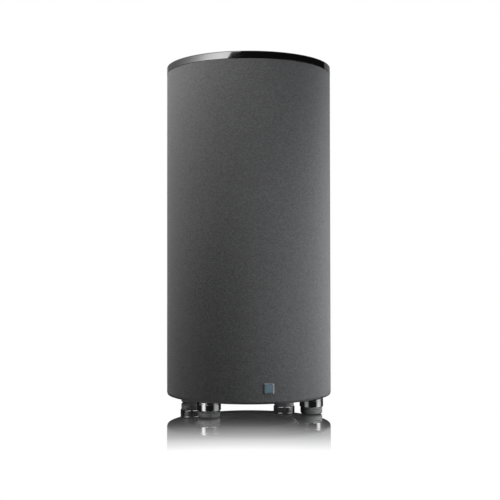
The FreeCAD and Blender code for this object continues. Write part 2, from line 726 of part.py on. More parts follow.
def mains_inlet():
    """Inlet body with a fuse drawer slot below the socket, and its three pins."""
    x, z = INLET
    inlet = rounded_box(x - 16.5, x + 16.5, SEAT_Y, PANEL_Y + 2.4, z - 18.0, z + 13.0, 1.5)
    inlet = inlet.fuse(box(x - 13.5, x + 13.5, 158.0, PANEL_Y + 1, z - 15.0, z + 10.0))
    socket = box(x - 12.0, x + 12.0, 166.0, 200, z - 7.5, z + 8.5)
    upper = [e for e in edges_along_y(socket) if e.Vertexes[0].Point.z > z]
    inlet = inlet.cut(socket.makeChamfer(3.5, upper))
    inlet = inlet.cut(box(x - 11.2, x + 11.2, 161.0, 200, z - 13.6, z - 8.7)).removeSplitter()
    places = [(x - 7.0, z - 1.5), (x + 7.0, z - 1.5), (x, z + 2.5)]
    for place in places:
        inlet = inlet.cut(box_at(place, 1.0, 2.0, 161.0, 181.5))
    return [inlet] + [box_at(place, 0.95, 1.95, 161.1, 181.0) for place in places]


def fuse_drawer():
    x, z = INLET
    drawer = box(x - 11.0, x + 11.0, 162.5, PANEL_Y + 2.9, z - 13.4, z - 8.9)
    drawer = drawer.cut(box(x - 9.6, x + 9.6, 166.0, 181.0, z - 12.2, z - 8.0))
    return drawer.cut(box(x - 3.0, x + 3.0, PANEL_Y + 2.2, PANEL_Y + 4, z - 12.0, z - 10.3))


def status_led():
    x, z = LED
    radius, dome_y = 2.5, PANEL_Y + 0.6
    led = fuse([disc_y(radius, 176.0, dome_y, x, z),
                disc_y(3.1, PANEL_BACK - 1.1, PANEL_BACK - 0.1, x, z)])
    return led.fuse(Part.makeSphere(radius, V(x, dome_y, z))).removeSplitter()


# ---------------------------------------------------------------- build
# each piece is saved under the name of its function
for make in (
        cabinet_tube, top_cap, top_bulkhead, base_baffle, knit_cover, badge_frame, badge_face,
        port_brace, damping_liner, port_tube, port_flare,
        woofer_basket, woofer_trim_ring, woofer_surround, woofer_cone, woofer_dust_cap,
        voice_coil_former, voice_coil, woofer_spider, motor_front_plate, motor_magnet,
        motor_pole_yoke, woofer_terminals, tinsel_leads, woofer_screws, speaker_wires,
        foot_inserts, amp_bezel, amp_gasket, amp_panel, amp_screws, heat_sink, amp_back_box,
        amp_circuit_board, board_components, toroid_transformer, potentiometers,
        switch_bodies, power_rocker, mode_slider, rca_jacks, trigger_jack, mains_inlet,
        fuse_drawer, status_led):
    save(make.__name__, make())

for corner, (x, y) in FEET.items():
    save("foot_%s_pad" % corner, foot_pad(x, y))
    save("foot_%s_collar" % corner, foot_collar(x, y))
    save("foot_%s_stud" % corner, foot_stud(x, y))

for name, x in KNOBS.items():
    save(name, knob(x))
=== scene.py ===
# A round, floor-standing subwoofer in metres, +Z up, its axis on Z and its feet at z = 0.
# The badge is at the front (-Y) and the amplifier at the back (+Y). The woofer faces the
# floor, and the port opens in the middle of the glossy top.
import bpy
import bmesh
import json
import math
import random
from mathutils import Vector, Matrix, noise


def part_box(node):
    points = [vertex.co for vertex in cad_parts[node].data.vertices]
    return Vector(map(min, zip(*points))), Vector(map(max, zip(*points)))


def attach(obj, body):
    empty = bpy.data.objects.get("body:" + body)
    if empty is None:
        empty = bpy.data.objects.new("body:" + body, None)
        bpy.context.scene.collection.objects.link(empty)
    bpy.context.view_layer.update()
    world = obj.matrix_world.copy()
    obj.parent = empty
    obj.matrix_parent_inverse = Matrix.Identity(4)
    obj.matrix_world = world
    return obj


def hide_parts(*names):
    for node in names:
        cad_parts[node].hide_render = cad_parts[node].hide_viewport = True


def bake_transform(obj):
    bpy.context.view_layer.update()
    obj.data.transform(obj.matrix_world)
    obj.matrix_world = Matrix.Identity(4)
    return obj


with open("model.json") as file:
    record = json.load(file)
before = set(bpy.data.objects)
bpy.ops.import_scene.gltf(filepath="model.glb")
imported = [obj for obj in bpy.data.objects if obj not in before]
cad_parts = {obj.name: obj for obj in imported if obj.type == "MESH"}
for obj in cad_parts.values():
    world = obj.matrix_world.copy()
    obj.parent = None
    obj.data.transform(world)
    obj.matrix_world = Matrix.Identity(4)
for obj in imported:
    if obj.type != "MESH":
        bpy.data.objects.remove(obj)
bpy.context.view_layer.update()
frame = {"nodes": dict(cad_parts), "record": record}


random.seed(7)
PI = math.pi
Y_AXIS = Vector((0, 1, 0))
Z_AXIS = Vector((0, 0, 1))


def extent(node):
    """Low corner, high corner and middle of a CAD piece's box."""
    low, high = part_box(node)
    return low, high, (low + high) / 2


# ------------------------------------------------------------------ shader trees
def grey(level):
    return (level,) * 3


class ShaderTree:
    """Adds nodes to a material or world. Values may be numbers, tuples or output sockets."""

    def __init__(self, owner):
        owner.use_nodes = True
        self.nodes = owner.node_tree.nodes
        self.links = owner.node_tree.links
        self.nodes.clear()

    def feed(self, node, inputs):
        for key, value in inputs.items():
            socket = node.inputs[key]
            if isinstance(value, bpy.types.NodeSocket):
                self.links.new(value, socket)
            elif socket.type == "RGBA":
                socket.default_value = (*value, 1)
            else:
                socket.default_value = value

    def add(self, kind, inputs=None, **settings):
        node = self.nodes.new("ShaderNode" + kind)
        for key, value in settings.items():
            setattr(node, key, value)
        self.feed(node, inputs or {})
        return node

    def math(self, operation, *values, clamp=False):
        node = self.add("Math", dict(enumerate(values)), operation=operation, use_clamp=clamp)
        return node.outputs[0]

    def plus(self, a, b):
        return self.math("ADD", a, b)

    def minus(self, a, b):
        return self.math("SUBTRACT", a, b)

    def times(self, a, b):
        return self.math("MULTIPLY", a, b)

    def over(self, a, b):
        return self.math("DIVIDE", a, b)

    def dot(self, a, b):
        return self.add("VectorMath", {0: a, 1: b}, operation="DOT_PRODUCT").outputs["Value"]

    def split(self, vector):
        return self.add("SeparateXYZ", {0: vector}).outputs

    def remap(self, value, source, target, **settings):
        """Maps the (low, high) range source onto the range target."""
        inputs = dict(enumerate((value, *source, *target)))
        return self.add("MapRange", inputs, **settings).outputs[0]

    def mix(self, factor, first, second):
        return self.add("Mix", {0: factor, 6: first, 7: second}, data_type="RGBA").outputs[2]

    def mottle(self, value, dark, light):
        return self.mix(self.remap(value, (0.3, 0.7), (0, 1)), dark, light)

    def coords(self, scale=(1, 1, 1)):
        place = self.add("TexCoord").outputs["Object"]
        return self.add("Mapping", {0: place, "Scale": scale}).outputs[0]

    def noise(self, place, scale, detail=4, roughness=0.55):
        inputs = {"Vector": place, "Scale": scale, "Detail": detail, "Roughness": roughness}
        return self.add("TexNoise", inputs).outputs[0]

    def bump(self, height, strength, distance, normal=None):
        inputs = {"Strength": strength, "Distance": distance, "Height": height}
        if normal is not None:
            inputs["Normal"] = normal
        return self.add("Bump", inputs).outputs[0]


# ------------------------------------------------------------------ materials
MATERIALS = {}


def make_material(name, recipe, **settings):
    """The recipe adds its nodes to the tree and returns the inputs of the Principled shader."""
    material = bpy.data.materials.new(name)
    tree = ShaderTree(material)
    output = tree.add("OutputMaterial")
    shader = tree.add("BsdfPrincipled")
    tree.feed(output, {0: shader.outputs[0]})
    tree.feed(shader, recipe(tree, **settings))
    MATERIALS[name] = material


KNIT_RADIUS = 0.21
LOOP_WIDTH, LOOP_HEIGHT = 0.00150, 0.00120
YARN_CELL = 1.5  # size of an evenly shaded patch of yarn, in loops


def knit(tree):
    """Fine tricot knit: rows of small loops in a heathered yarn, with slow changes of tone and
    painted shade in the hollows between the loops.
    """
    place = tree.add("TexCoord").outputs["Object"]
    x, y, height = tree.split(place)
    # arc length round the wall
    around = tree.times(tree.math("ARCTAN2", x, y), KNIT_RADIUS)
    row = tree.math("FLOOR", tree.over(height, LOOP_HEIGHT))
    # every other row is shifted by half a loop
    shift = tree.times(tree.math("MODULO", row, 2.0), 0.5)
    column_phase = tree.times(tree.plus(tree.over(around, LOOP_WIDTH), shift), 2 * PI)
    column_wave = tree.math("SINE", column_phase)
    row_wave = tree.math("SINE", tree.times(tree.over(height, LOOP_HEIGHT), 2 * PI))
    loop = tree.plus(tree.times(column_wave, 0.5), tree.times(row_wave, 0.5))

    wall = tree.add("CombineXYZ", {0: around, 1: height}).outputs[0]
    fine = tree.noise(wall, 560.0, detail=3, roughness=0.7)
    coarse = tree.noise(wall, 130.0, detail=3, roughness=0.6)
    slow = tree.noise(place, 4.0, detail=3, roughness=0.5)
    cell_around = tree.plus(tree.over(around, LOOP_WIDTH * YARN_CELL), shift)
    cell = tree.add("CombineXYZ", {
        0: tree.math("FLOOR", cell_around),
        1: tree.math("FLOOR", tree.over(height, LOOP_HEIGHT * YARN_CELL)),
    }).outputs[0]
    yarn = tree.add("TexWhiteNoise", {"Vector": cell}, noise_dimensions="3D").outputs["Value"]

    shade = tree.mix(tree.remap(fine, (0.36, 0.64), (0, 1)), (0.036, 0.036, 0.0362), grey(0.072))
    layers = (  # how much of each grey is laid over the yarn
        (tree.times(yarn, 0.27), 0.104),
        (tree.times(tree.minus(1.0, yarn), 0.27), 0.010),
        # painted shade: where the loop relief is low, in the hollows between the loops, the yarn
        # is darkened towards 0.018
        (tree.remap(loop, (-0.9, -0.1), (0.55, 0.0)), 0.018),
        (tree.remap(coarse, (0.36, 0.64), (0.03, 0.0)), 0.014),
        (tree.remap(slow, (0.35, 0.65), (0.0, 0.10)), 0.085),
    )
    for amount, level in layers:
        shade = tree.mix(amount, shade, grey(level))
    relief = tree.plus(loop, tree.times(fine, 0.8))
    return {
        "Base Color": shade,
        "Normal": tree.bump(relief, strength=0.22, distance=0.0005),
        "Roughness": 0.9,
        "Specular IOR Level": 0.0,
        "Sheen Weight": 0.12,
        "Sheen Roughness": 0.45,
        "Sheen Tint": grey(1.0),
    }


def gloss_lacquer(tree):
    """Black lacquer with a faint orange peel and specks of dust."""
    place = tree.coords()
    cloud = tree.noise(place, 2.2, detail=3)
    peel = tree.noise(place, 90.0, detail=2, roughness=0.4)
    dust = tree.noise(place, 1400.0, detail=2, roughness=0.5)
    haze = tree.remap(cloud, (0.3, 0.7), (0.035, 0.06))
    return {
        "Base Color": tree.mottle(cloud, (0.0022, 0.0022, 0.0023), (0.0036, 0.0036, 0.0038)),
        "Roughness": tree.plus(haze, tree.remap(dust, (0.60, 0.75), (0.0, 0.12))),
        "Normal": tree.bump(peel, strength=0.012, distance=0.0008),
        "Specular IOR Level": 0.62,
        "Coat Weight": 0.6,
        "Coat Roughness": 0.02,
    }


def turned_chrome(tree):
    """Polished metal with fine level rings."""
    rings = tree.noise(tree.coords((3, 3, 900)), 3.0, detail=3, roughness=0.6)
    cloud = tree.noise(tree.coords(), 60)
    return {
        "Base Color": tree.mottle(cloud, (0.30, 0.30, 0.302), (0.42, 0.42, 0.425)),
        "Roughness": tree.remap(rings, (0.3, 0.7), (0.07, 0.15)),
        "Normal": tree.bump(rings, strength=0.04, distance=0.0002),
        "Metallic": 1.0,
    }


def fibre_batting(tree):
    fibres = tree.noise(tree.coords((1, 1, 0.35)), 420.0, detail=6, roughness=0.75)
    cloud = tree.noise(tree.coords(), 26.0, roughness=0.6)
    return {
        "Base Color": tree.mottle(cloud, (0.60, 0.59, 0.55), (0.80, 0.79, 0.76)),
        "Normal": tree.bump(fibres, strength=0.9, distance=0.003),
        "Roughness": 0.97,
        "Sheen Weight": 0.4,
    }


def darker(color, factor):
    return tuple(c * factor for c in color)


def ply_layers(tree, color, shade, ply=0.0036):
    """Level plies with streaks of grain; returns the shade and the relief."""
    height = tree.split(tree.coords())[2]
    layers = tree.math("SINE", tree.times(height, 2 * PI / ply))
    grain = tree.noise(tree.coords((8, 260, 8)), 3.0, detail=5, roughness=0.7)
    layer_amount = tree.remap(layers, (-0.3, 0.3), (0.75, 0))
    shade = tree.mix(layer_amount, shade, darker(color, 0.62))
    grain_amount = tree.remap(grain, (0.35, 0.65), (0.0, 0.35))
    return tree.mix(grain_amount, shade, darker(color, 0.5)), grain


def crossed_threads(tree, color, shade, pitch=0.0014):
    """A plain weave in the XY plane; returns the shade and the relief."""
    x, y, _ = tree.split(tree.coords())
    waves = [tree.math("SINE", tree.times(along, 2 * PI / pitch)) for along in (x, y)]
    weave = tree.times(*waves)
    amount = tree.remap(weave, (-0.6, 0.6), (0.0, 0.55))
    return tree.mix(amount, shade, darker(color, 0.35)), weave


def surface(tree, color, rough, scale, metal=0.0, var=0.2, stretch=(1, 1, 1), bump=0.2,
            bump_scale=1500.0, bump_dist=0.0004, wear=None, wear_radius=0.0009, sheen=0.0,
            kind="noise", edge=True, emit=0.0):
    """A mottled surface with a fine relief.

    var and scale set the depth and fineness of the mottling, stretch its proportions;
    kind is noise, ply, weave or flock; edge rounds the edges to wear_radius, and wear is
    the colour that shows where they are rubbed; emit is a glow in the same colour.
    """
    place = tree.coords(stretch)
    cloud = tree.noise(place, scale)
    dark = darker(color, 1 - var)
    light = tuple(min(1.0, c * (1 + var)) for c in color)
    shade = tree.mottle(cloud, dark, light)
    if kind == "ply":
        shade, relief = ply_layers(tree, color, shade)
    elif kind == "weave":
        shade, relief = crossed_threads(tree, color, shade)
    else:
        relief = tree.noise(place, bump_scale, detail=3, roughness=0.6)
    if kind == "flock":
        cell_inputs = {"Scale": bump_scale * 0.5, "Vector": place}
        cells = tree.add("TexVoronoi", cell_inputs).outputs[0]
        relief = tree.plus(relief, cells)
        shade = tree.mix(tree.remap(cells, (0.0, 0.8), (0.35, 0.0)), shade, dark)

    rough_range = (max(0.02, rough - 0.07), min(1.0, rough + 0.09))
    roughness = tree.remap(cloud, (0.25, 0.75), rough_range)
    normal = None
    if edge:
        normal = tree.add("Bevel", {"Radius": wear_radius}, samples=3).outputs[0]
        if wear is not None:
            # the rounded normal leaves the face's own normal near an edge
            flat = tree.add("NewGeometry").outputs["True Normal"]
            bend = tree.math("SUBTRACT", 1.0, tree.dot(normal, flat), clamp=True)
            near_edge = tree.remap(bend, (0.03, 0.22), (0, 1))
            patches = tree.remap(tree.noise(place, 160), (0.42, 0.62), (0, 0.8))
            worn = tree.math("MULTIPLY", near_edge, patches, clamp=True)
            shade = tree.mix(worn, shade, wear)
            roughness = tree.math("ADD", roughness, tree.times(worn, 0.12), clamp=True)
    inputs = {
        "Base Color": shade,
        "Roughness": roughness,
        "Normal": tree.bump(relief, bump, bump_dist, normal),
        "Metallic": metal,
        "Coat Roughness": 0.04,
        "Sheen Weight": sheen,
    }
    if emit:
        inputs["Emission Color"] = color
        inputs["Emission Strength"] = emit
    return inputs


SURFACES = {
    "fibreboard": dict(
        color=(0.020, 0.019, 0.018), rough=0.82, var=0.16, scale=160, bump=0.4,
        bump_scale=1200, wear=(0.05, 0.045, 0.04)),
    "black_board": dict(
        color=(0.018, 0.018, 0.019), rough=0.55, var=0.25, scale=60, bump=0.3,
        wear=(0.05, 0.045, 0.04)),
    "plywood": dict(
        color=(0.62, 0.47, 0.30), rough=0.7, kind="ply", var=0.12, scale=18, bump=0.25,
        bump_dist=0.0003, wear=(0.74, 0.6, 0.42)),
    "badge_metal": dict(
        color=(0.62, 0.63, 0.65), rough=0.24, metal=1.0, var=0.08, scale=120,
        stretch=(1, 1, 22), bump=0.05, bump_scale=500, wear=(0.8, 0.8, 0.82),
        wear_radius=0.0004),
    "badge_face": dict(
        color=(0.080, 0.125, 0.150), rough=0.40, metal=0.25, var=0.12, scale=80,
        stretch=(18, 1, 1), bump=0.06, bump_scale=700, wear=(0.3, 0.34, 0.4),
        wear_radius=0.0003),
    "port_plastic": dict(
        color=grey(0.022), rough=0.62, scale=50, bump=0.35, bump_scale=1100, wear=grey(0.06)),
    "flare_plastic": dict(
        color=(0.016, 0.016, 0.017), rough=0.42, scale=70, bump=0.3, bump_scale=1600,
        wear=grey(0.05)),
    "basket": dict(
        color=(0.026, 0.026, 0.028), rough=0.5, metal=0.2, scale=90, bump=0.5,
        bump_scale=1800, wear=(0.35, 0.35, 0.36)),
    "trim_ring": dict(color=grey(0.018), rough=0.38, scale=70, bump_scale=1300, wear=grey(0.06)),
    "surround": dict(
        color=(0.016, 0.016, 0.0165), rough=0.68, var=0.22, scale=60, bump=0.3,
        bump_scale=1300, sheen=0.15, edge=False),
    "cone": dict(
        color=(0.040, 0.040, 0.042), rough=0.8, var=0.28, scale=240, kind="flock",
        bump=0.7, bump_scale=900, edge=False),
    "dust_cap": dict(
        color=(0.022, 0.022, 0.024), rough=0.45, scale=180, bump=0.3, bump_scale=1200,
        edge=False),
    "former": dict(
        color=(0.66, 0.67, 0.69), rough=0.3, metal=1.0, var=0.08, scale=120,
        stretch=(1, 1, 12), bump=0.1, bump_scale=700, wear_radius=0.0003),
    "coil": dict(
        color=(0.62, 0.25, 0.09), rough=0.35, metal=1.0, scale=60, stretch=(1, 1, 30),
        bump=0.8, bump_scale=110, wear=(0.8, 0.45, 0.2), wear_radius=0.0003),
    "spider": dict(
        color=(0.62, 0.43, 0.13), rough=0.85, kind="weave", var=0.15, scale=60, bump=0.8,
        edge=False),
    "steel_plate": dict(
        color=(0.32, 0.33, 0.34), rough=0.36, metal=1.0, var=0.14, scale=60,
        stretch=(1, 1, 10), bump=0.12, bump_scale=700, wear=grey(0.6)),
    "ferrite": dict(
        color=(0.045, 0.045, 0.048), rough=0.7, var=0.25, scale=120, bump=0.5,
        bump_scale=1400, wear=grey(0.13)),
    "terminal": dict(
        color=(0.42, 0.03, 0.02), rough=0.45, scale=100, bump_scale=1100,
        wear=(0.6, 0.2, 0.15), wear_radius=0.0005),
    "braid": dict(
        color=(0.66, 0.40, 0.20), rough=0.42, metal=1.0, var=0.3, scale=900, kind="weave",
        bump=0.9, edge=False),
    "black_screw": dict(
        color=(0.03, 0.03, 0.032), rough=0.36, metal=0.8, var=0.25, scale=300,
        wear=(0.45, 0.45, 0.46), wear_radius=0.0005),
    "wire": dict(
        color=(0.03, 0.03, 0.031), rough=0.5, scale=200, bump_scale=1200, edge=False),
    "wire_red": dict(
        color=(0.36, 0.02, 0.02), rough=0.5, scale=200, bump_scale=1200, edge=False),
    "foot_rubber": dict(
        color=(0.075, 0.075, 0.074), rough=0.5, scale=140, bump=0.12, bump_scale=1700,
        wear=(0.16, 0.16, 0.155), wear_radius=0.0010),
    "zinc": dict(
        color=(0.58, 0.59, 0.57), rough=0.34, metal=1.0, var=0.15, scale=110,
        stretch=(1, 1, 40), bump=0.7, bump_scale=60, wear=(0.8, 0.8, 0.78),
        wear_radius=0.0004),
    "insert": dict(
        color=(0.74, 0.56, 0.24), rough=0.36, metal=1.0, var=0.15, scale=90,
        bump_scale=900, wear=(0.9, 0.75, 0.42), wear_radius=0.0004),
    "bezel": dict(
        color=(0.021, 0.021, 0.022), rough=0.62, var=0.22, scale=80, bump=0.4,
        wear=(0.06, 0.055, 0.05)),
    "gasket": dict(
        color=grey(0.05), rough=0.9, kind="flock", var=0.25, scale=150, bump=0.8,
        bump_scale=1300, edge=False),
    "amp_plate": dict(
        color=(0.030, 0.031, 0.033), rough=0.46, metal=0.35, scale=70, bump=0.35,
        bump_scale=2200, wear=(0.4, 0.4, 0.42), wear_radius=0.0006),
    "heat_sink": dict(
        color=(0.55, 0.56, 0.57), rough=0.32, metal=1.0, var=0.1, scale=60,
        stretch=(1, 1, 14), bump=0.15, bump_scale=600, wear=(0.78, 0.78, 0.8),
        wear_radius=0.0005),
    "box_steel": dict(
        color=(0.04, 0.04, 0.041), rough=0.6, var=0.25, scale=70, bump=0.3,
        bump_scale=1200, wear=grey(0.1)),
    "board": dict(
        color=(0.018, 0.13, 0.045), rough=0.4, var=0.25, scale=220, bump=0.3,
        wear=(0.5, 0.45, 0.25), wear_radius=0.0004),
    "components": dict(
        color=(0.03, 0.045, 0.13), rough=0.35, var=0.3, scale=30, bump_scale=1200,
        wear=(0.35, 0.36, 0.4), wear_radius=0.0005),
    "toroid": dict(
        color=(0.50, 0.33, 0.06), rough=0.4, metal=0.2, scale=50, stretch=(1, 14, 1),
        bump=0.5, bump_scale=180, wear=(0.6, 0.45, 0.15)),
    "pot": dict(
        color=grey(0.5), rough=0.35, metal=1.0, var=0.12, scale=120, bump=0.15,
        bump_scale=900, wear=grey(0.75), wear_radius=0.0004),
    "knob": dict(
        color=(0.022, 0.022, 0.023), rough=0.52, scale=160, bump=0.3, wear=grey(0.07),
        wear_radius=0.0005),
    "switch": dict(
        color=grey(0.018), rough=0.4, scale=160, wear=grey(0.06), wear_radius=0.0005),
    "rca": dict(
        color=(0.80, 0.58, 0.20), rough=0.2, metal=1.0, var=0.08, scale=90, bump=0.1,
        bump_scale=800, wear=(0.95, 0.8, 0.5), wear_radius=0.0003),
    "jack": dict(
        color=grey(0.66), rough=0.25, metal=1.0, var=0.1, scale=90, bump=0.1,
        bump_scale=800, wear=grey(0.85), wear_radius=0.0003),
    "inlet": dict(
        color=grey(0.015), rough=0.42, scale=160, wear=grey(0.05), wear_radius=0.0005),
    "lens": dict(
        color=(0.05, 0.16, 0.75), rough=0.12, var=0.1, scale=60, bump=0.03,
        bump_scale=600, edge=False, emit=1.2),
    "mark_white": dict(
        color=(0.62, 0.62, 0.60), rough=0.55, var=0.1, scale=500, bump=0.1, edge=False),
    "ins_red": dict(
        color=(0.50, 0.02, 0.02), rough=0.42, var=0.15, scale=200, bump=0.1,
        bump_scale=1200, edge=False),
    "ins_white": dict(
        color=(0.66, 0.66, 0.63), rough=0.42, var=0.1, scale=200, bump=0.1,
        bump_scale=1200, edge=False),
    "thread": dict(
        color=(0.075, 0.075, 0.076), rough=0.75, var=0.3, scale=900, bump=0.5,
        bump_scale=2500, sheen=0.3, edge=False),
}

make_material("knit", knit)
make_material("gloss_top", gloss_lacquer)
make_material("foot_chrome", turned_chrome)
make_material("batting", fibre_batting)
for name, settings in SURFACES.items():
    make_material(name, surface, **settings)

SLOTS = {piece["node"]: piece["material_slot"] for piece in frame["record"]["subparts"]}
for name, piece in frame["nodes"].items():
    piece.data.materials.clear()
    piece.data.materials.append(MATERIALS[SLOTS[name]])


# ------------------------------------------------------------------ mesh helpers
def part(name, mesh, slot, replaces=None, body="cabinet", material=None, sharp=40):
    """Adds a piece that rides on a body; with body None the piece is left unattached."""
    piece = bpy.data.objects.new(name, mesh)
    bpy.context.scene.collection.objects.link(piece)
    mesh.materials.append(MATERIALS[material or slot])
    for polygon in mesh.polygons:
        polygon.use_smooth = True
    mesh.set_sharp_from_angle(angle=math.radians(sharp))
    if body:
        weighted = piece.modifiers.new("flat_faces_stay_flat", "WEIGHTED_NORMAL")
        weighted.keep_sharp = True
        weighted.weight = 100
        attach(piece, body)
    if replaces:
        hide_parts(replaces)
    return piece


def to_mesh(bm):
    bmesh.ops.recalc_face_normals(bm, faces=bm.faces)
    mesh = bpy.data.meshes.new("part")
    bm.to_mesh(mesh)
    bm.free()
    return mesh


def bridge(bm, first, second):
    """Faces between two rings; a ring that repeats one vertex gives a fan of triangles."""
    count = len(first)
    for k in range(count):
        after = (k + 1) % count
        bm.faces.new(dict.fromkeys((first[k], first[after], second[after], second[k])))


def drop_loose_vertices(bm):
    loose = [v for v in bm.verts if not v.link_faces]
    bmesh.ops.delete(bm, geom=loose, context="VERTS")


def arc(centre, radii, steps, per_quarter):
    """Points of an elliptic arc at the given steps, of which per_quarter make 90 degrees."""
    angles = [PI / 2 * k / per_quarter for k in steps]
    return [(centre[0] + radii[0] * math.cos(a), centre[1] + radii[1] * math.sin(a))
            for a in angles]


def straight(start, end, count=24):
    return [tuple(a + (b - a) * k / count for a, b in zip(start, end)) for k in range(count + 1)]


def soften(points, rounding, steps=3, closed=True):
    """Rounds the corners of an outline; a point's third value is a rounding of its own."""
    count = len(points)
    rounded = []
    for i, point in enumerate(points):
        radius = point[2] if len(point) == 3 else rounding
        if radius <= 0 or (not closed and i in (0, count - 1)):
            rounded.append(point[:2])
            continue
        corner = Vector(point[:2])
        back = Vector(points[i - 1][:2]) - corner
        onward = Vector(points[(i + 1) % count][:2]) - corner
        radius = min(radius, back.length * 0.48, onward.length * 0.48)
        start = corner + back.normalized() * radius
        end = corner + onward.normalized() * radius
        for k in range(steps + 1):
            s = k / steps
            spot = start * (1 - s) ** 2 + corner * 2 * s * (1 - s) + end * s ** 2
            rounded.append((spot.x, spot.y))
    return rounded


def revolve(outline, segments, centre=(0.0, 0.0), axis="z", closed=True, wobble=None):
    """Turns a (radius, height) outline round an axis along Z at (x, y) or along Y at (x, z)."""
    def place(radius, height, angle):
        across, along = radius * math.cos(angle), radius * math.sin(angle)
        if axis == "z":
            return (centre[0] + across, centre[1] + along, height)
        return (centre[0] + along, height, centre[1] + across)

    bm = bmesh.new()
    rings = []
    for radius, height in outline:
        if radius < 1e-7:
            rings.append([bm.verts.new(place(0.0, height, 0.0))] * segments)
            continue
        ring = []
        for k in range(segments):
            angle = 2 * PI * k / segments
            spot = wobble(radius, height, angle) if wobble else (radius, height)
            ring.append(bm.verts.new(place(*spot, angle)))
        rings.append(ring)
    count = len(rings)
    for i in range(count if closed else count - 1):
        bridge(bm, rings[i], rings[(i + 1) % count])
    return to_mesh(bm)


def add_tube(bm, points, radius, sides=12, ripple=0.0):
    """A capped round tube along the points; ripple is the share by which its radius varies."""
    last = len(points) - 1
    rings = []
    for i, point in enumerate(points):
        ahead = (points[min(i + 1, last)] - points[max(i - 1, 0)]).normalized()
        side = ahead.cross(Z_AXIS)
        if side.length < 1e-3:
            side = ahead.cross(Vector((1, 0, 0)))
        side.normalize()
        other = ahead.cross(side).normalized()
        size = radius * (1.0 + ripple * math.sin(i * 2.3))
        ring = []
        for k in range(sides):
            angle = 2 * PI * k / sides
            offset = side * size * math.cos(angle) + other * size * math.sin(angle)
            ring.append(bm.verts.new(point + offset))
        rings.append(ring)
    for first, second in zip(rings, rings[1:]):
        bridge(bm, first, second)
    bm.faces.new(rings[0][::-1])
    bm.faces.new(rings[-1])


def smooth_path(stations, per):
    """Catmull-Rom curve through the stations, with per points for each span."""
    before = stations[0] * 2 - stations[1]
    after = stations[-1] * 2 - stations[-2]
    knots = [before] + stations + [after]
    path = []
    for a, b, c, d in zip(knots, knots[1:], knots[2:], knots[3:]):
        for k in range(per):
            s = k / per
            path.append(0.5 * ((2 * b) + (c - a) * s + (2 * a - 5 * b + 4 * c - d) * s * s
                               + (3 * b - a - 3 * c + d) * s ** 3))
    path.append(stations[-1])
    return path


def add_box(bm, x_range, y_range, z_range, bevel=0.0, segments=2):
    ranges = (x_range, y_range, z_range)
    corners = bmesh.ops.create_cube(bm, size=1.0)["verts"]
    for v in corners:
        v.co = Vector([(a + b) / 2 + c * (b - a) for (a, b), c in zip(ranges, v.co)])
    if bevel:
        edges = {e for v in corners for e in v.link_edges}
        bmesh.ops.bevel(bm, geom=list(edges), offset=bevel, segments=segments, profile=0.6,
                        affect="EDGES")


def rounded_rectangle(middle, half_x, half_z, radius, steps):
    """(x, z) points of a rectangle with round corners, each corner in the given steps."""
    points = []
    corners = ((1, 1, 0), (-1, 1, PI / 2), (-1, -1, PI), (1, -1, 3 * PI / 2))
    for side_x, side_z, start in corners:
        for k in range(steps + 1):
            angle = start + PI / 2 * k / steps
            points.append((middle.x + side_x * (half_x - radius) + radius * math.cos(angle),
                           middle.z + side_z * (half_z - radius) + radius * math.sin(angle)))
    return points


# ------------------------------------------------------------------ knitted cover
cover_low, cover_high, _ = extent("knit_cover")
RADIUS = cover_high.x
amp_low, amp_high, _ = extent("amp_bezel")
AMP_GAP = 0.0004  # between the bezel and the edge of the cover's opening
AMP_HALF = (amp_high.x - amp_low.x) / 2 + AMP_GAP
HEM = 0.003  # height kept for each rolled hem
# steps of (radius, height) by which an edge is rolled inwards
HEM_ROLL = ((0.00012, 0.0014), (-0.0001, 0.0010), (-0.0006, 0.0004), (-0.0006, -0.0001))
OPENING_ROLL = ((-0.0003, 0.0), (-0.0006, 0.0), (-0.0012, 0.0))


def cover_angles():
    """Angles from +Y towards +X, finer next to the sides of the opening."""
    side = math.asin(AMP_HALF / RADIUS)
    angles = [-PI + 2 * PI * k / 220 for k in range(220)]
    angles = [a for a in angles if abs(abs(a) - side) > 0.018]
    for sign in (-1, 1):
        angles += [sign * (side + step) for step in (-0.012, -0.004, 0.0, 0.004, 0.012)]
    return sorted(angles)


def cover_heights(rows=96, clear=0.004):
    """Evenly spaced rows, with rows of their own at the opening's lower and upper edges."""
    low, high = amp_low.z, amp_high.z
    span = cover_high.z - cover_low.z - 2 * HEM
    heights = [cover_low.z + HEM + span * k / rows for k in range(rows + 1)]
    heights = [z for z in heights
               if min(abs(z - low + AMP_GAP), abs(z - high - AMP_GAP)) > clear]
    heights += [low - AMP_GAP, high + AMP_GAP]
    heights += [edge + step for edge in (low, high) for step in (-clear, clear)]
    return sorted(heights)


def roll_edge(bm, edges, steps):
    for radial, rise in steps:
        extruded = bmesh.ops.extrude_edge_only(bm, edges=edges)["geom"]
        moved = {g for g in extruded if isinstance(g, bmesh.types.BMVert)}
        for v in moved:
            radius = math.hypot(v.co.x, v.co.y)
            factor = (radius + radial) / radius
            v.co.x *= factor
            v.co.y *= factor
            v.co.z += rise
        edges = [g for g in extruded
                 if isinstance(g, bmesh.types.BMEdge) and moved.issuperset(g.verts)]


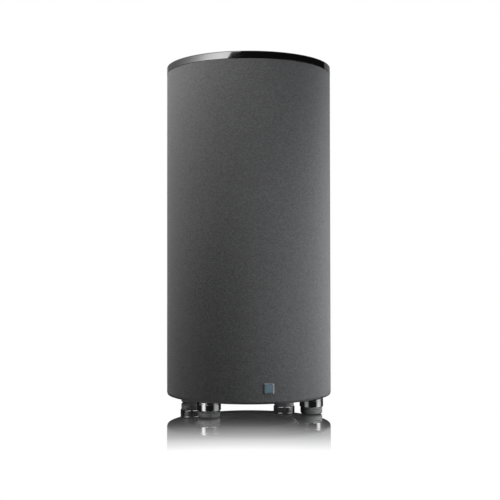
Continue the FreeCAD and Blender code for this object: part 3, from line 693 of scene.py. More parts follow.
def knit_sock():
    """One skin with rolled hems, a turned-in edge round the amplifier and a slight relief."""
    angles = cover_angles()
    heights = cover_heights()
    bm = bmesh.new()
    grid = []
    for z in heights:
        row = []
        for angle in angles:
            sine, cosine = math.sin(angle), math.cos(angle)
            relief = noise.noise(Vector((sine * 3.0, cosine * 3.0, z * 5.0))) * 0.00012
            radius = RADIUS - 0.0003 + relief
            row.append(bm.verts.new((radius * sine, radius * cosine, z)))
        grid.append(row)
    count = len(angles)
    for i in range(len(heights) - 1):
        z = (heights[i] + heights[i + 1]) / 2
        in_rows = amp_low.z - AMP_GAP < z < amp_high.z + AMP_GAP
        for k in range(count):
            after = (k + 1) % count
            angle = (angles[k] + angles[after]) / 2 if after else PI
            in_columns = math.cos(angle) > 0 and abs(RADIUS * math.sin(angle)) < AMP_HALF
            if in_rows and in_columns:
                continue
            bm.faces.new((grid[i][k], grid[i][after], grid[i + 1][after], grid[i + 1][k]))
    drop_loose_vertices(bm)

    rims = [e for e in bm.edges if e.is_boundary]

    def at_height(z):
        return [e for e in rims if all(abs(v.co.z - z) < 1e-6 for v in e.verts)]
    bottom = at_height(heights[0])
    top = at_height(heights[-1])
    hems = set(bottom + top)
    opening = [e for e in rims if e not in hems]
    roll_edge(bm, bottom, [(radial, -rise) for radial, rise in HEM_ROLL])
    roll_edge(bm, top, HEM_ROLL)
    roll_edge(bm, opening, OPENING_ROLL)
    return to_mesh(bm)


def rear_seam(pitch=0.0021):
    """Overlocked seam up the back, above and below the amplifier, in slanting stitches."""
    bm = bmesh.new()
    stitch = Matrix.Diagonal((3.4, 0.8, 1.0, 1))
    stretches = ((amp_high.z + 0.003, cover_high.z - 0.002),
                 (cover_low.z + 0.002, amp_low.z - 0.003))
    for start, end in stretches:
        z = start
        side = -1
        while z < end:
            place = Matrix.Translation((0.0011 * side, RADIUS - 0.0001, z))
            slant = Matrix.Rotation(0.5 * side, 4, "Y")
            bmesh.ops.create_uvsphere(bm, u_segments=6, v_segments=4, radius=0.00048,
                                      matrix=place @ slant @ stitch)
            z += pitch
            side = -side
    return to_mesh(bm)


part("cover_knit_sock", knit_sock(), "knit", "knit_cover", sharp=60)
part("cover_rear_seam", rear_seam(), "knit", material="thread", sharp=180)

# ------------------------------------------------------------------ top cap and port
cap_low, cap_high, _ = extent("top_cap")
flare_low, flare_high, _ = extent("port_flare")
PORT_RADIUS = 0.050


def top_cap():
    outer, bottom, top = cap_high.x, cap_low.z, cap_high.z
    inner = flare_high.x + 0.0003
    edge = 0.002  # radius of the rounded upper edge
    return revolve([
        (inner, bottom), (outer - 0.0006, bottom), (outer, bottom + 0.0006),
        (outer, bottom + 0.0010), (outer, bottom + 0.0016), (outer, top - 0.0026),
        *arc((outer - edge, top - edge), (edge, edge), range(9), 8),
        (outer - 0.004, top), (outer - 0.03, top), (inner + 0.02, top),
        (inner + 0.002, top), (inner + 0.0004, top), (inner, top - 0.0004),
    ], 320)


def port_flare():
    """Trumpet from the port's bore up to a flat lip level with its highest point."""
    lip, bottom, top = flare_high.x, flare_low.z, flare_high.z
    bore = PORT_RADIUS + 0.0002
    curve = 0.0208  # how far the trumpet opens
    return revolve([
        (bore, bottom),
        *arc((bore + curve, bottom), (-curve, top - bottom), range(1, 17), 16),
        (PORT_RADIUS + 0.0225, top), (lip - 0.0006, top), (lip, top - 0.0006),
        (lip, cap_low.z + 0.0002), (lip - 0.004, cap_low.z + 0.0002),
        (lip - 0.004, top - 0.0034), (PORT_RADIUS + 0.021, top - 0.0034),
        (PORT_RADIUS + 0.0100, top - 0.0095), (PORT_RADIUS + 0.0052, bottom),
    ], 220)


def port_tube():
    """Long tube with a bell at its lower end."""
    low, high, _ = extent("port_tube")
    bell = 0.025
    wall = 0.003
    centre = (PORT_RADIUS + bell, low.z + bell)
    outside = PORT_RADIUS + wall
    return revolve([
        (PORT_RADIUS, high.z), (PORT_RADIUS, low.z + bell),
        *arc(centre, (-bell, -bell), range(1, 13), 12),
        (PORT_RADIUS + bell, low.z + wall),
        *arc(centre, (wall - bell, wall - bell), range(11, -1, -1), 12),
        (outside, low.z + 0.2), (outside, high.z),
    ], 128)


part("cap_gloss_top", top_cap(), "gloss_top", "top_cap", sharp=50)
part("port_mouth_flare", port_flare(), "flare_plastic", "port_flare")
part("port_long_tube", port_tube(), "port_plastic", "port_tube")


# ------------------------------------------------------------------ badge
def badge_frame():
    """Square rim round a recess; its back edge follows the curved cover."""
    low, high, middle = extent("badge_frame")
    half = (high.x - low.x) / 2
    front = low.y
    inner = half - 0.0017
    back_radius = RADIUS + 0.0001
    recess = front + 0.0012
    layers = (  # half width, corner radius, y; None lies on the cover
        (half, 0.0012, None), (half, 0.0012, front + 0.0008),
        (half - 0.0001, 0.0011, front + 0.00056), (half - 0.0003, 0.0010, front + 0.0004),
        (inner + 0.0002, 0.0006, front + 0.00005), (inner + 0.0001, 0.0005, front),
        (inner, 0.0005, front + 0.0001), (inner, 0.0005, recess),
    )
    bm = bmesh.new()
    rings = []
    for width, corner, depth in layers:
        ring = []
        for x, z in rounded_rectangle(middle, width, width, corner, 6):
            y = -math.sqrt(back_radius ** 2 - x * x) if depth is None else depth
            ring.append(bm.verts.new((x, y, z)))
        rings.append(ring)
    for first, second in zip(rings, rings[1:]):
        bridge(bm, first, second)
    for ring, y in ((rings[0], -back_radius), (rings[-1], recess)):
        bridge(bm, ring, [bm.verts.new((middle.x, y, middle.z))] * len(ring))
    return to_mesh(bm)


def badge_plate(gap=0.00015):
    low, high, _ = extent("badge_face")
    bm = bmesh.new()
    add_box(bm, (low.x + gap, high.x - gap), (low.y + 0.00005, high.y),
            (low.z + gap, high.z - gap), bevel=0.0006)
    return to_mesh(bm)


part("badge_bezel", badge_frame(), "badge_metal", "badge_frame")
part("badge_plate", badge_plate(), "badge_face", "badge_face")


# ------------------------------------------------------------------ feet
def foot_rubber(radius, top, shoulder, centre):
    """Rubber pad with a rounded lower edge, a groove round it and a raised core."""
    edge = 0.0055  # radius of the lower edge
    outline = [  # radius, height, rounding of the corner
        (0.0, 0.0), (0.008, 0.0, 0.0003), (0.0082, 0.0006, 0.0003),
        (0.0178, 0.0006, 0.0003), (0.0181, 0.0, 0.0003),
        *arc((radius - edge, edge), (edge, edge), range(-9, 1), 9),
        (radius, 0.0117, 0.0004), (radius - 0.0009, 0.0123, 0.0003),
        (radius - 0.0009, 0.0131, 0.0003), (radius - 0.0001, 0.0136, 0.0004),
        (radius - 0.0001, shoulder - 0.0008, 0.0004), (radius - 0.0008, shoulder, 0.0004),
        (0.0216, shoulder, 0.0004), (0.0216, top, 0.0004), (0.0096, top, 0.0003),
        (0.0096, 0.0245, 0.0003), (0.0, 0.0240),
    ]
    return revolve(soften(outline, 0, closed=False), 96, centre, closed=False)


def foot_collar(radius, bottom, top, centre):
    """Polished collar with chamfered edges and a shallow groove below its upper edge."""
    chamfer = 0.0013
    rim = top - chamfer
    bore, bolt, ceiling = 0.0220, 0.00415, 0.0339
    outline = [
        (bore, bottom), (radius - chamfer, bottom), (radius, bottom + chamfer),
        (radius, rim - 0.0042), (radius - 0.0005, rim - 0.0038),
        (radius - 0.0005, rim - 0.0032), (radius, rim - 0.0028), (radius, rim),
        (radius - chamfer, top), (bolt, top), (bolt, ceiling), (bore, ceiling),
    ]
    return revolve(soften(outline, 0.00035), 160, centre)


for corner in ("front_left", "front_right", "rear_left", "rear_right"):
    foot = "foot_" + corner
    pad_low, pad_high, pad_middle = extent(foot + "_pad")
    collar_low, collar_high, _ = extent(foot + "_collar")
    centre = (pad_middle.x, pad_middle.y)
    rubber = foot_rubber((pad_high.x - pad_low.x) / 2, pad_high.z, collar_low.z - 0.0001, centre)
    part(foot + "_rubber", rubber, "foot_rubber", foot + "_pad", body=foot + "_base")
    collar_radius = (collar_high.x - collar_low.x) / 2
    collar = foot_collar(collar_radius, collar_low.z, collar_high.z, centre)
    part(foot + "_polished_collar", collar, "foot_chrome", foot + "_collar",
         body=foot + "_stem", sharp=30)


# ------------------------------------------------------------------ woofer
def radial_blend(piece, fixed_radius, moving_radius):
    """Bakes the piece's transform into its mesh and works out each vertex's share between the
    cabinet's radius and the cone assembly's, but bends nothing.
    """
    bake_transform(piece)
    for v in piece.data.vertices:
        share = (math.hypot(v.co.x, v.co.y) - fixed_radius) / (moving_radius - fixed_radius)
        share = min(1.0, max(0.0, share))


def surround():
    """Rubber ring whose half roll hangs below its flat lands."""
    top = extent("woofer_surround")[1].z
    thick = 0.0016
    bottom = top - thick
    centre = (0.116, top)
    upper = 0.012 - thick / 2  # radius of the roll's upper face
    lower = upper + thick
    outer_edge, inner_edge = 0.138, 0.097
    mesh = revolve([
        (outer_edge, top), (centre[0] + upper + 0.0015, top),
        *arc(centre, (upper, -upper), range(1, 24), 12),
        (centre[0] - upper - 0.0015, top), (inner_edge, top),
        (inner_edge, bottom), (centre[0] - lower - 0.001, bottom),
        *arc(centre, (lower, -lower), range(23, 0, -1), 12),
        (centre[0] + lower + 0.001, bottom), (outer_edge, bottom),
    ], 192)
    piece = part("woofer_half_roll", mesh, "surround", "woofer_surround", body=None, sharp=60)
    radial_blend(piece, fixed_radius=0.128, moving_radius=0.104)


def cone():
    """Pulp cone, from its rim at the bottom to its neck at the top, slightly uneven."""
    low, high, _ = extent("woofer_cone")
    neck = 0.0379
    thick = 0.0018
    outline = [
        (high.x - 0.0004, low.z + 0.0001), (0.0970, low.z + 0.0001),
        *straight((0.0960, low.z), (neck, high.z - 0.002)),
        (neck, high.z),
        *straight((0.0982, low.z + thick), (neck + 0.0013, high.z))[::-1],
        (high.x - 0.0004, low.z + thick), (high.x, low.z + 0.0009),
    ]

    def pulp(radius, z, angle):
        place = Vector((radius * math.cos(angle) * 60, radius * math.sin(angle) * 60, 3.0))
        return radius, z + 0.00012 * noise.noise(place)
    part("woofer_pulp_cone", revolve(outline, 160, wobble=pulp), "cone", "woofer_cone",
         body="cone_assembly", sharp=50)


def dust_cap():
    low, high, _ = extent("woofer_dust_cap")
    apex, rim = low.z, high.z
    depth = rim - apex
    sphere = (high.x * high.x + depth * depth) / (2 * depth)
    below = [(0.0, apex)]
    for k in range(1, 27):
        radius = high.x * k / 26
        below.append((radius, apex + sphere - math.sqrt(sphere * sphere - radius * radius)))
    above = [(max(0.0, radius - 0.0003), z + 0.0012) for radius, z in below[::-1]]
    part("woofer_dome", revolve(below + above, 128, closed=False), "dust_cap",
         "woofer_dust_cap", body="cone_assembly", sharp=50)


def trim_ring():
    low, high, _ = extent("woofer_trim_ring")
    inner, outer = 0.1302, high.x
    outline = [
        (inner, low.z + 0.0004), (inner + 0.0006, low.z), (outer - 0.0009, low.z),
        (outer, low.z + 0.0009), (outer, high.z), (inner, high.z),
    ]
    part("woofer_outer_trim", revolve(soften(outline, 0.0003), 200), "trim_ring",
         "woofer_trim_ring")


def spider():
    """Disc with five corrugations between flat lands."""
    _, high, middle = extent("woofer_spider")
    inner, outer = 0.0378, high.x
    start, end = inner + 0.003, 0.085  # the corrugated band
    fade = 0.004

    def height(radius):
        if radius >= 0.0845:
            return middle.z
        fade_in = min(1.0, max(0.0, (radius - start) / fade))
        fade_out = min(1.0, max(0.0, (end - radius) / fade))
        wave = math.sin(2 * PI * 5 * (radius - start) / (end - start))
        return middle.z + 0.0026 * fade_in * fade_out * wave
    radii = [inner + (outer - inner) * k / 110 for k in range(111)]
    upper = [(radius, height(radius) + 0.0004) for radius in radii]
    lower = [(radius, height(radius) - 0.0004) for radius in radii[::-1]]
    piece = part("woofer_corrugated_spider", revolve(upper + lower, 144), "spider",
                 "woofer_spider", body=None, sharp=60)
    radial_blend(piece, fixed_radius=0.086, moving_radius=0.040)


surround()
cone()
dust_cap()
trim_ring()
spider()

# ------------------------------------------------------------------ leads and wires
LEAD_BEARING = 150  # degrees from +X, where the terminals are
# radius, share of the sideways offset, z; from the terminals to the cone
LEAD_STATIONS = ((0.1025, 1, 0.095), (0.092, 1.05, 0.090), (0.076, 1.1, 0.0885),
                 (0.060, 1, 0.0925), (0.047, 0.9, 0.093))
# radius, turn from the leads' bearing in degrees, z; upwards from the terminals
WIRE_STATIONS = ((0.1222, 0, 0.095), (0.131, 0, 0.099), (0.140, -6, 0.118),
                 (0.138, -12, 0.160), (0.1285, -17, 0.200))
WIRE_END = Vector((-0.0868, 0.122, 0.222))


def lead_point(radius, side, z):
    cosine = math.cos(math.radians(LEAD_BEARING))
    sine = math.sin(math.radians(LEAD_BEARING))
    return Vector((radius * cosine - side * sine, radius * sine + side * cosine, z))


def tinsel_leads():
    bm = bmesh.new()
    for side in (-0.006, 0.006):
        stations = [lead_point(radius, side * share, z) for radius, share, z in LEAD_STATIONS]
        add_tube(bm, smooth_path(stations, 18), 0.0009, ripple=0.10)
    return to_mesh(bm)


def speaker_wire(phase):
    """One wire of a pair twisted 3.2 turns, spread apart at the terminals."""
    stations = []
    for radius, turn, z in WIRE_STATIONS:
        angle = math.radians(LEAD_BEARING + turn)
        stations.append(Vector((radius * math.cos(angle), radius * math.sin(angle), z)))
    path = smooth_path(stations + [WIRE_END], 22)
    count = len(path)
    strand = []
    for i, point in enumerate(path):
        ahead = (path[min(i + 1, count - 1)] - path[max(i - 1, 0)]).normalized()
        side = ahead.cross(Z_AXIS).normalized()
        other = ahead.cross(side).normalized()
        twist = 2 * PI * 3.2 * i / count + phase
        spread = 0.0016 + 0.0040 * max(0.0, 1 - i / 10.0)
        strand.append(point + side * spread * math.cos(twist) + other * spread * math.sin(twist))
    bm = bmesh.new()
    add_tube(bm, strand, 0.0013)
    return to_mesh(bm)


leads = part("woofer_tinsel_braids", tinsel_leads(), "braid", "tinsel_leads", body=None,
             sharp=60)
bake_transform(leads)
part("speaker_wire_black", speaker_wire(0), "wire", "speaker_wires", sharp=60)
part("speaker_wire_red", speaker_wire(PI), "wire", material="wire_red", sharp=60)


# ------------------------------------------------------------------ damping liner
def add_batting(bm, radius, bottom, top, columns=150, rows=44):
    """A tufted, uneven band of batting, left open where the amplifier stands."""
    outer, inner = [], []
    for i in range(rows + 1):
        z = bottom + (top - bottom) * i / rows
        fullness = min(1.0, min(i, rows - i) / 3.0)  # thins out at both edges
        outer.append([])
        inner.append([])
        for k in range(columns):
            angle = 2 * PI * k / columns
            cosine, sine = math.cos(angle), math.sin(angle)
            place = Vector((cosine * 4, sine * 4, z * 18))
            lumps = noise.noise(place) * 0.0028 + noise.noise(place * 3.1) * 0.0012
            tuft = 0.0035 * max(0.0, math.sin(9 * angle) * math.sin(z * 52)) ** 6
            thick = 0.0215 * (0.35 + 0.65 * fullness) + (lumps - tuft) * fullness
            inside = radius - thick
            outer[i].append(bm.verts.new((radius * cosine, radius * sine, z)))
            inner[i].append(bm.verts.new((inside * cosine, inside * sine, z)))

    def kept(i, k):
        if not 0 <= i < rows:
            return False
        angle = 2 * PI * (k % columns + 0.5) / columns
        z = bottom + (top - bottom) * (i + 0.5) / rows
        return not (math.sin(angle) > 0 and abs(radius * math.cos(angle)) < 0.119 and z < 0.402)

    for i in range(rows):
        for k in range(columns):
            if not kept(i, k):
                continue
            after = (k + 1) % columns
            bm.faces.new((outer[i][k], outer[i][after], outer[i + 1][after], outer[i + 1][k]))
            bm.faces.new((inner[i][k], inner[i + 1][k], inner[i + 1][after], inner[i][after]))
            # edge faces towards each missing neighbour
            for row, neighbour in ((i, i - 1), (i + 1, i + 1)):
                if not kept(neighbour, k):
                    bm.faces.new((outer[row][k], outer[row][after],
                                  inner[row][after], inner[row][k]))
            for column, neighbour in ((k, k - 1), (after, k + 1)):
                if not kept(i, neighbour):
                    bm.faces.new((outer[i][column], outer[i + 1][column],
                                  inner[i + 1][column], inner[i][column]))


def damping_liner():
    high = extent("damping_liner")[1]
    bm = bmesh.new()
    for bottom, top in ((0.128, 0.496), (0.522, high.z)):
        add_batting(bm, high.x, bottom, top)
    drop_loose_vertices(bm)
    return to_mesh(bm)


part("liner_batting", damping_liner(), "batting", "damping_liner", sharp=80)

# ------------------------------------------------------------------ amplifier
PANEL_Y = extent("amp_panel")[1].y
MARK_Y = (PANEL_Y + 0.00004, PANEL_Y + 0.00012)  # back and front of the printing
DIALS = ("level", "lowpass", "phase")
# printed frames: x range, z range
FRAMES = (((-0.082, -0.024), (0.232, 0.283)), ((-0.018, 0.082), (0.232, 0.283)),
          ((-0.082, 0.082), (0.298, 0.346)))


def knob(dial):
    """Fluted knob with a white pointer; returns its middle."""
    low, high, middle = extent(dial + "_knob")
    name, body = dial + "_knob_fluted", dial + "_control"
    radius = (high.x - low.x) / 2
    back, front = PANEL_Y + 0.001, high.y
    outline = [
        (0.0, front - 0.0008), (0.0060, front - 0.0006), (0.0078, front - 0.0001),
        (radius - 0.0014, front), (radius - 0.0004, front - 0.0006),
        (radius, front - 0.0016), (radius, back + 0.0030), (radius, back + 0.0006),
        (radius - 0.0005, back), (0.0076, back), (0.0076, front - 0.0050),
        (0.0030, front - 0.0050), (0.0030, low.y), (0.0, low.y),
    ]

    def flute(r, y, angle):
        if r > radius - 0.0002 and back + 0.0002 < y < front - 0.0012:
            r -= 0.00055 * max(0.0, 1 - abs(math.sin(12 * angle)) * 1.8)
        return r, y
    mesh = revolve(soften(outline, 0.0002, steps=2, closed=False), 192, (middle.x, middle.z),
                   axis="y", closed=False, wobble=flute)
    part(name, mesh, "knob", dial + "_knob", body=body, sharp=32)
    bm = bmesh.new()
    add_box(bm, (middle.x - 0.00055, middle.x + 0.00055), (front - 0.0006, front + 0.0001),
            (middle.z + 0.0045, middle.z + radius - 0.0009), bevel=0.00015, segments=1)
    part(name + "_pointer", to_mesh(bm), "knob", body=body, material="mark_white")
    return middle


def add_ticks(bm, middle, start=0.0135, half_width=0.00028):
    """Eleven ticks round a knob, 30 degrees apart; the ends and the middle one are longer."""
    for k in range(11):
        angle = math.radians(-150 + 30 * k)
        cosine, sine = math.cos(angle), math.sin(angle)
        end = start + (0.0030 if k in (0, 5, 10) else 0.0018)
        corners = []
        for radius, side in ((start, -1), (end, -1), (end, 1), (start, 1)):
            shift = half_width * side
            corners.append((middle.x + radius * sine + shift * cosine,
                            middle.z + radius * cosine - shift * sine))
        back, front = [[bm.verts.new((x, y, z)) for x, z in corners] for y in MARK_Y]
        bm.faces.new(front)
        bm.faces.new(back[::-1])
        bridge(bm, back, front)


def add_frame(bm, x_range, z_range, line=0.0004):
    (left, right), (bottom, top) = x_range, z_range
    for x_bar, z_bar in ((x_range, (bottom, bottom + line)), (x_range, (top - line, top)),
                         ((left, left + line), z_range), ((right - line, right), z_range)):
        add_box(bm, x_bar, MARK_Y, z_bar)


def sockets():
    """Coloured insulators and collars of the four phono sockets; the lower ones are red."""
    # (radius, distance from the panel)
    insulator = ((0.00252, 0.0022), (0.00312, 0.0022), (0.00312, 0.0080), (0.0029, 0.0083),
                 (0.00252, 0.0083))
    collar = ((0.0066, 0.0001), (0.0066, 0.0011), (0.0074, 0.0011), (0.0078, 0.0001))
    insulator, collar = [[(radius, PANEL_Y + out) for radius, out in outline]
                         for outline in (insulator, collar)]
    places = [(x, z) for x in (-0.066, -0.040) for z in (0.268, 0.248)]
    for i, place in enumerate(places):
        color = "ins_red" if i % 2 else "ins_white"
        part(f"socket_insulator_{i}", revolve(insulator, 40, place, axis="y"), "rca",
             material=color)
        part(f"socket_collar_{i}", revolve(soften(collar, 0.0002, steps=2), 48, place, axis="y"),
             "rca", material=color)


def foam_gasket(inset=0.0058, sides=12):
    """A soft, flattened bead running round the plate."""
    low, high, middle = extent("amp_gasket")
    half_x = (high.x - low.x) / 2 - inset
    half_z = (high.z - low.z) / 2 - inset
    corners = [Vector((x, middle.y, z))
               for x, z in rounded_rectangle(middle, half_x, half_z, 0.006, 8)]
    path = []
    for start, end in zip(corners, corners[1:] + corners[:1]):
        count = max(1, int((end - start).length / 0.006))
        path += [start.lerp(end, k / count) for k in range(count)]
    bm = bmesh.new()
    rings = []
    for i, point in enumerate(path):
        ahead = (path[(i + 1) % len(path)] - path[i - 1]).normalized()
        side = Y_AXIS.cross(ahead).normalized()
        half_width = 0.0052 + 0.0003 * noise.noise(point * 140)
        ring = []
        for k in range(sides):
            angle = 2 * PI * k / sides
            sine = math.sin(angle)
            lift = 0.00068 * math.copysign(abs(sine) ** 0.5, sine)
            ring.append(bm.verts.new(point + side * half_width * math.cos(angle)
                                     + Y_AXIS * lift))
        rings.append(ring)
    for first, second in zip(rings, rings[1:] + rings[:1]):
        bridge(bm, first, second)
    return to_mesh(bm)


marks = bmesh.new()
for dial in DIALS:
    add_ticks(marks, knob(dial))
for x_range, z_range in FRAMES:
    add_frame(marks, x_range, z_range)
part("panel_printed_marks", to_mesh(marks), "amp_plate", material="mark_white")
sockets()
part("plate_foam_gasket", foam_gasket(), "gasket", "amp_gasket", sharp=60)

# ------------------------------------------------------------------ stage directions
VIEW = math.radians(-13.0)  # turn of the camera round Z from -Y
TO_RIGHT = (math.cos(VIEW), math.sin(VIEW), 0.0)
AWAY = (-math.sin(VIEW), math.cos(VIEW), 0.0)
FAINT = 0.012  # light the floor and the world give to the object's matt parts


def direction(azimuth, elevation=0.0):
    """Unit vector from the object; azimuth 0 is the camera's, positive to its right."""
    turn = VIEW + math.radians(azimuth)
    rise = math.radians(elevation)
    return Vector((math.sin(turn) * math.cos(rise), -math.cos(turn) * math.cos(rise),
                   math.sin(rise)))


def bearing(tree, vector):
    """Azimuth of a ray's travel in degrees, counted as in direction()."""
    toward = direction(0)
    ahead = tree.dot(vector, (toward.x, toward.y, 0.0))
    right = tree.dot(vector, TO_RIGHT)
    return tree.times(tree.math("ARCTAN2", right, ahead), 180.0 / PI)


def axis_offset(tree, point_x, point_y, ray_x, ray_y):
    """How far a ray's line passes from the axis, signed, for a level ray of unit length."""
    return tree.minus(tree.times(point_x, ray_y), tree.times(point_y, ray_x))


def window(tree, value, rise, fall, peak):
    """Climbs over the range rise, stays at peak and drops over the range fall."""
    smooth = {"interpolation_type": "SMOOTHSTEP"}
    climb = tree.remap(value, rise, (0.0, 1.0), **smooth)
    drop = tree.remap(value, fall, (1.0, 0.0), **smooth)
    return tree.times(tree.times(climb, drop), peak)


# ------------------------------------------------------------------ floor
# mirroring of the floor: distance towards the viewer as a share of MIRROR_REACH, strength
MIRROR_REACH = 0.6
MIRROR_CURVE = (
    (0.225, 0.981), (0.3225, 0.959), (0.414, 0.9135), (0.501, 0.812), (0.5845, 0.70),
    (0.664, 0.56), (0.739, 0.367), (0.811, 0.212), (0.8805, 0.0555), (0.914, 0.0),
)


def tall_boxes(tree, azimuth, offset):
    """Two tall light boxes low round the object, as polished metal sees them."""
    left = tree.times(window(tree, azimuth, rise=(-79.0, -59.0), fall=(-43.0, -24.0), peak=2.3),
                      tree.remap(offset, (0.09, 0.13), (1.0, 0.25)))
    right = tree.times(window(tree, azimuth, rise=(40.0, 70.0), fall=(96.0, 116.0), peak=1.7),
                       tree.remap(offset, (-0.13, -0.09), (0.6, 1.0)))
    return tree.plus(tree.plus(left, right), 0.008)


def mirror_strength(tree, ahead, offset):
    curve = tree.add("FloatCurve",
                     {"Value": tree.math("DIVIDE", ahead, MIRROR_REACH, clamp=True)})
    points = curve.mapping.curves[0].points
    points[0].location = (0.0, 0.99)
    points[1].location = (1.0, 0.0)
    for x, y in MIRROR_CURVE:
        points.new(x, y)
    curve.mapping.update()
    beside = tree.remap(tree.math("ABSOLUTE", offset), (0.209, 0.214), (1.0, 0.0))
    behind = tree.remap(ahead, (-0.30, -0.24), (0.0, 1.0))
    return tree.times(tree.times(curve.outputs[0], beside), behind)


def floor_material():
    """White to the camera, with the object's fading mirror image; clear from below."""
    material = bpy.data.materials.new("stage_floor")
    tree = ShaderTree(material)
    point_x, point_y, _ = tree.split(tree.add("TexCoord").outputs["Object"])
    geometry = tree.add("NewGeometry").outputs
    incoming = geometry["Incoming"]
    ray_x, ray_y, _ = tree.split(incoming)
    squares = tree.plus(tree.times(ray_x, ray_x), tree.times(ray_y, ray_y))
    level = tree.math("SQRT", squares)
    # distance of the point from the axis towards the viewer
    along = tree.plus(tree.times(point_x, ray_x), tree.times(point_y, ray_y))
    ahead = tree.over(along, level)
    offset = tree.over(axis_offset(tree, point_x, point_y, ray_x, ray_y), level)

    mirror = tree.add("BsdfGlossy", {"Roughness": 0.0, "Color": grey(1)})
    white = tree.add("Emission", {"Strength": 1.0})
    to_camera = tree.add("MixShader", {
        0: mirror_strength(tree, ahead, offset), 1: white.outputs[0], 2: mirror.outputs[0]})
    # rays off the object: polished parts see the light boxes, the rest almost nothing
    rays = tree.add("LightPath").outputs
    travel = tree.add("VectorMath", {0: incoming, "Scale": -1.0}, operation="SCALE").outputs[0]
    boxes = tree.times(tall_boxes(tree, bearing(tree, travel), offset), rays["Is Glossy Ray"])
    to_object = tree.add("Emission", {"Strength": tree.plus(boxes, FAINT)})
    above = tree.add("MixShader", {
        0: rays["Is Camera Ray"], 1: to_object.outputs[0], 2: to_camera.outputs[0]})
    clear = tree.add("BsdfTransparent")
    both = tree.add("MixShader", {
        0: geometry["Backfacing"], 1: above.outputs[0], 2: clear.outputs[0]})
    tree.add("OutputMaterial", {0: both.outputs[0]})
    return material


def stage_floor(half=30, z=-0.0004):
    mesh = bpy.data.meshes.new("floor")
    corners = [(-half, -half, z), (half, -half, z), (half, half, z), (-half, half, z)]
    mesh.from_pydata(corners, [], [(0, 1, 2, 3)])
    floor = bpy.data.objects.new("stage_floor", mesh)
    bpy.context.scene.collection.objects.link(floor)
    mesh.materials.append(floor_material())
    floor.visible_shadow = False


# ------------------------------------------------------------------ world
def studio_world():
    world = bpy.data.worlds.new("studio")
    tree = ShaderTree(world)
    rays = tree.add("LightPath").outputs
    ray = tree.add("TexCoord").outputs["Generated"]
    behind = tree.remap(tree.dot(ray, AWAY), (0.80, 0.92), (0.0, 1.0))
    high = tree.times(tree.remap(tree.split(ray)[2], (0.31, 0.40), (0.0, 1.0)), 0.40)
    on_metal = tree.math("MAXIMUM", tree.times(behind, 0.4), high)
    # a ray mirrored by the floor that misses the object meets the white backdrop
    mirrored = rays["Is Singular Ray"]
    backdrop = tree.plus(mirrored, tree.times(tree.minus(1.0, mirrored), on_metal))
    glossy = tree.times(rays["Is Glossy Ray"], backdrop)
    diffuse = tree.times(rays["Is Diffuse Ray"], FAINT)
    camera = tree.times(rays["Is Camera Ray"], 1.0)
    strength = tree.plus(camera, tree.plus(glossy, diffuse))
    background = tree.add("Background", {"Color": grey(1), "Strength": strength})
    tree.add("OutputWorld", {0: background.outputs[0]})
    bpy.context.scene.world = world


# ------------------------------------------------------------------ lights
def soft_box(name, azimuth, watts, elevation=0, distance=0.85, width=0.7, height=0.7, aim=0.3,
             color=(1, 1, 1)):
    """Area light that faces the axis at the height aim; glossy surfaces don't show it."""
    light = bpy.data.lights.new(name, "AREA")
    light.shape = "RECTANGLE"
    light.size = width
    light.size_y = height
    light.energy = watts
    light.color = color
    lamp = bpy.data.objects.new(name, light)
    bpy.context.scene.collection.objects.link(lamp)
    place = direction(azimuth, elevation) * distance
    place.z += aim
    lamp.location = place
    beam = Vector((0, 0, aim)) - place
    lamp.rotation_euler = beam.to_track_quat("-Z", "Z").to_euler()
    lamp.visible_camera = False
    lamp.visible_glossy = False


def strip_material(name, flags):
    """Glow set by the vertex attribute "str", dimmed by flags in front of the strip.

    Each flag maps a range of the ray's offset from the axis onto a range of strengths.
    """
    material = bpy.data.materials.new(name)
    tree = ShaderTree(material)
    color = tree.add("Attribute", attribute_name="str").outputs["Color"]
    strength = tree.add("SeparateColor", {0: color}).outputs[0]
    if flags:
        geometry = tree.add("NewGeometry").outputs
        point_x, point_y, _ = tree.split(geometry["Position"])
        ray_x, ray_y, _ = tree.split(geometry["Incoming"])
        offset = axis_offset(tree, point_x, point_y, ray_x, ray_y)
        for source, target in flags:
            strength = tree.times(strength, tree.remap(offset, source, target))
    glow = tree.add("Emission", {"Strength": strength})
    tree.add("OutputMaterial", {0: glow.outputs[0]})
    return material


def strip(name, start, end, rows, levels, slants=None, flags=(), distance=2.6, columns=36):
    """Curved reflector seen only in glossy surfaces.

    It runs from azimuth start to end; rows are its heights, levels its strengths along
    the way, and slants shift the end azimuth of each row.
    """
    slants = slants or [0.0] * len(rows)
    count = len(rows)
    vertices, faces, strengths = [], [], []
    for k in range(columns + 1):
        for z, slant in zip(rows, slants):
            spot = direction(start + (end + slant - start) * k / columns)
            vertices.append((spot.x * distance, spot.y * distance, z))
        along = k / columns * (len(levels) - 1)
        i = min(int(along), len(levels) - 2)
        strengths += [levels[i] + (levels[i + 1] - levels[i]) * (along - i)] * count
    for k in range(columns):
        for i in range(count - 1):
            near, far = count * k + i, count * (k + 1) + i
            faces.append((near, far, far + 1, near + 1))
    mesh = bpy.data.meshes.new(name)
    mesh.from_pydata(vertices, [], faces)
    attribute = mesh.color_attributes.new("str", "FLOAT_COLOR", "POINT")
    for datum, strength in zip(attribute.data, strengths):
        datum.color = (*grey(strength), 1)
    mesh.materials.append(strip_material(name, flags))
    reflector = bpy.data.objects.new(name, mesh)
    bpy.context.scene.collection.objects.link(reflector)
    reflector.visible_camera = False
    reflector.visible_diffuse = False
    reflector.visible_shadow = False
    reflector.visible_transmission = False


stage_floor()
studio_world()

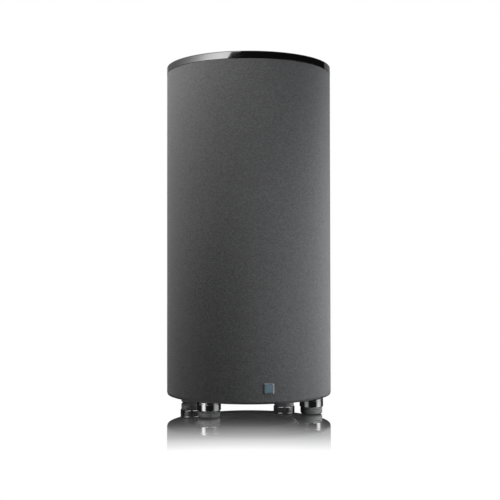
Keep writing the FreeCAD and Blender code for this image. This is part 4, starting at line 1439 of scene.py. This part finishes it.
COOL = (0.985, 1.0, 1.03)
soft_box("stage_box_left", azimuth=-100, elevation=30, distance=1.5, watts=17.7,
         color=(1.0, 1.0, 0.975))
soft_box("stage_box_front_left", azimuth=-45, elevation=40, distance=1.0, watts=24.7, aim=0.75,
         color=(0.995, 1.0, 1.01))
soft_box("stage_box_rear", azimuth=182, width=0.3, watts=13.0, aim=0.35)
soft_box("stage_box_right", azimuth=115, watts=19.7, color=COOL)
soft_box("stage_box_front_right", azimuth=55, watts=12.8, color=COOL)

# high strips, which the cap sees
strip("stage_strip_left", start=-150, end=-22, rows=(0.85, 1.35, 1.485, 2.2),
      levels=(0.15, 0.3, 0.45, 0.85, 1.6, 3.3, 6.6, 8.3, 8.5), slants=(-12, -12, 12, 12))
strip("stage_strip_right", start=128, end=160, rows=(0.85, 2.2), levels=(0.25, 0.25))
# low strips, which the polished collars see
strip("stage_low_left", start=-80, end=-24, rows=(0.0, 0.8),
      levels=(0.0, 1.6, 2.3, 2.3, 1.4, 0.0),
      flags=(((-0.02, 0.02), (0.10, 1.0)), ((0.09, 0.13), (1.0, 0.15))))
strip("stage_low_right", start=40, end=116, rows=(0.0, 0.8),
      levels=(0.0, 1.2, 2.0, 2.2, 1.4, 0.0),
      flags=(((-0.13, -0.09), (0.3, 1.0)), ((-0.02, 0.02), (1.0, 0.2))))

# ------------------------------------------------------------------ camera
CAMERA_DISTANCE = 2.37426
CAMERA_HEIGHT = 0.3633
# small turns from the level line to the axis: to the right, upwards, round the view
YAW, PITCH, ROLL = math.radians(0.079), math.radians(1.007), math.radians(-0.078)


def stage_camera():
    lens = bpy.data.cameras.new("cam")
    lens.lens = 66.2688
    lens.sensor_width = 36.0
    lens.clip_start = 0.01
    lens.clip_end = 100
    camera = bpy.data.objects.new("cam", lens)
    bpy.context.scene.collection.objects.link(camera)
    view = Vector(AWAY) * math.cos(YAW) + Vector(TO_RIGHT) * math.sin(YAW)
    view.normalize()
    view = (view * math.cos(PITCH) + Z_AXIS * math.sin(PITCH)).normalized()
    camera.rotation_mode = "QUATERNION"
    roll = Matrix.Rotation(ROLL, 3, "Z").to_quaternion()
    camera.rotation_quaternion = view.to_track_quat("-Z", "Y") @ roll
    camera.location = (math.sin(VIEW) * CAMERA_DISTANCE, -math.cos(VIEW) * CAMERA_DISTANCE,
                       CAMERA_HEIGHT)
    bpy.context.scene.camera = camera


stage_camera()
bpy.context.scene.view_settings.view_transform = "Standard"

bpy.context.view_layer.update()
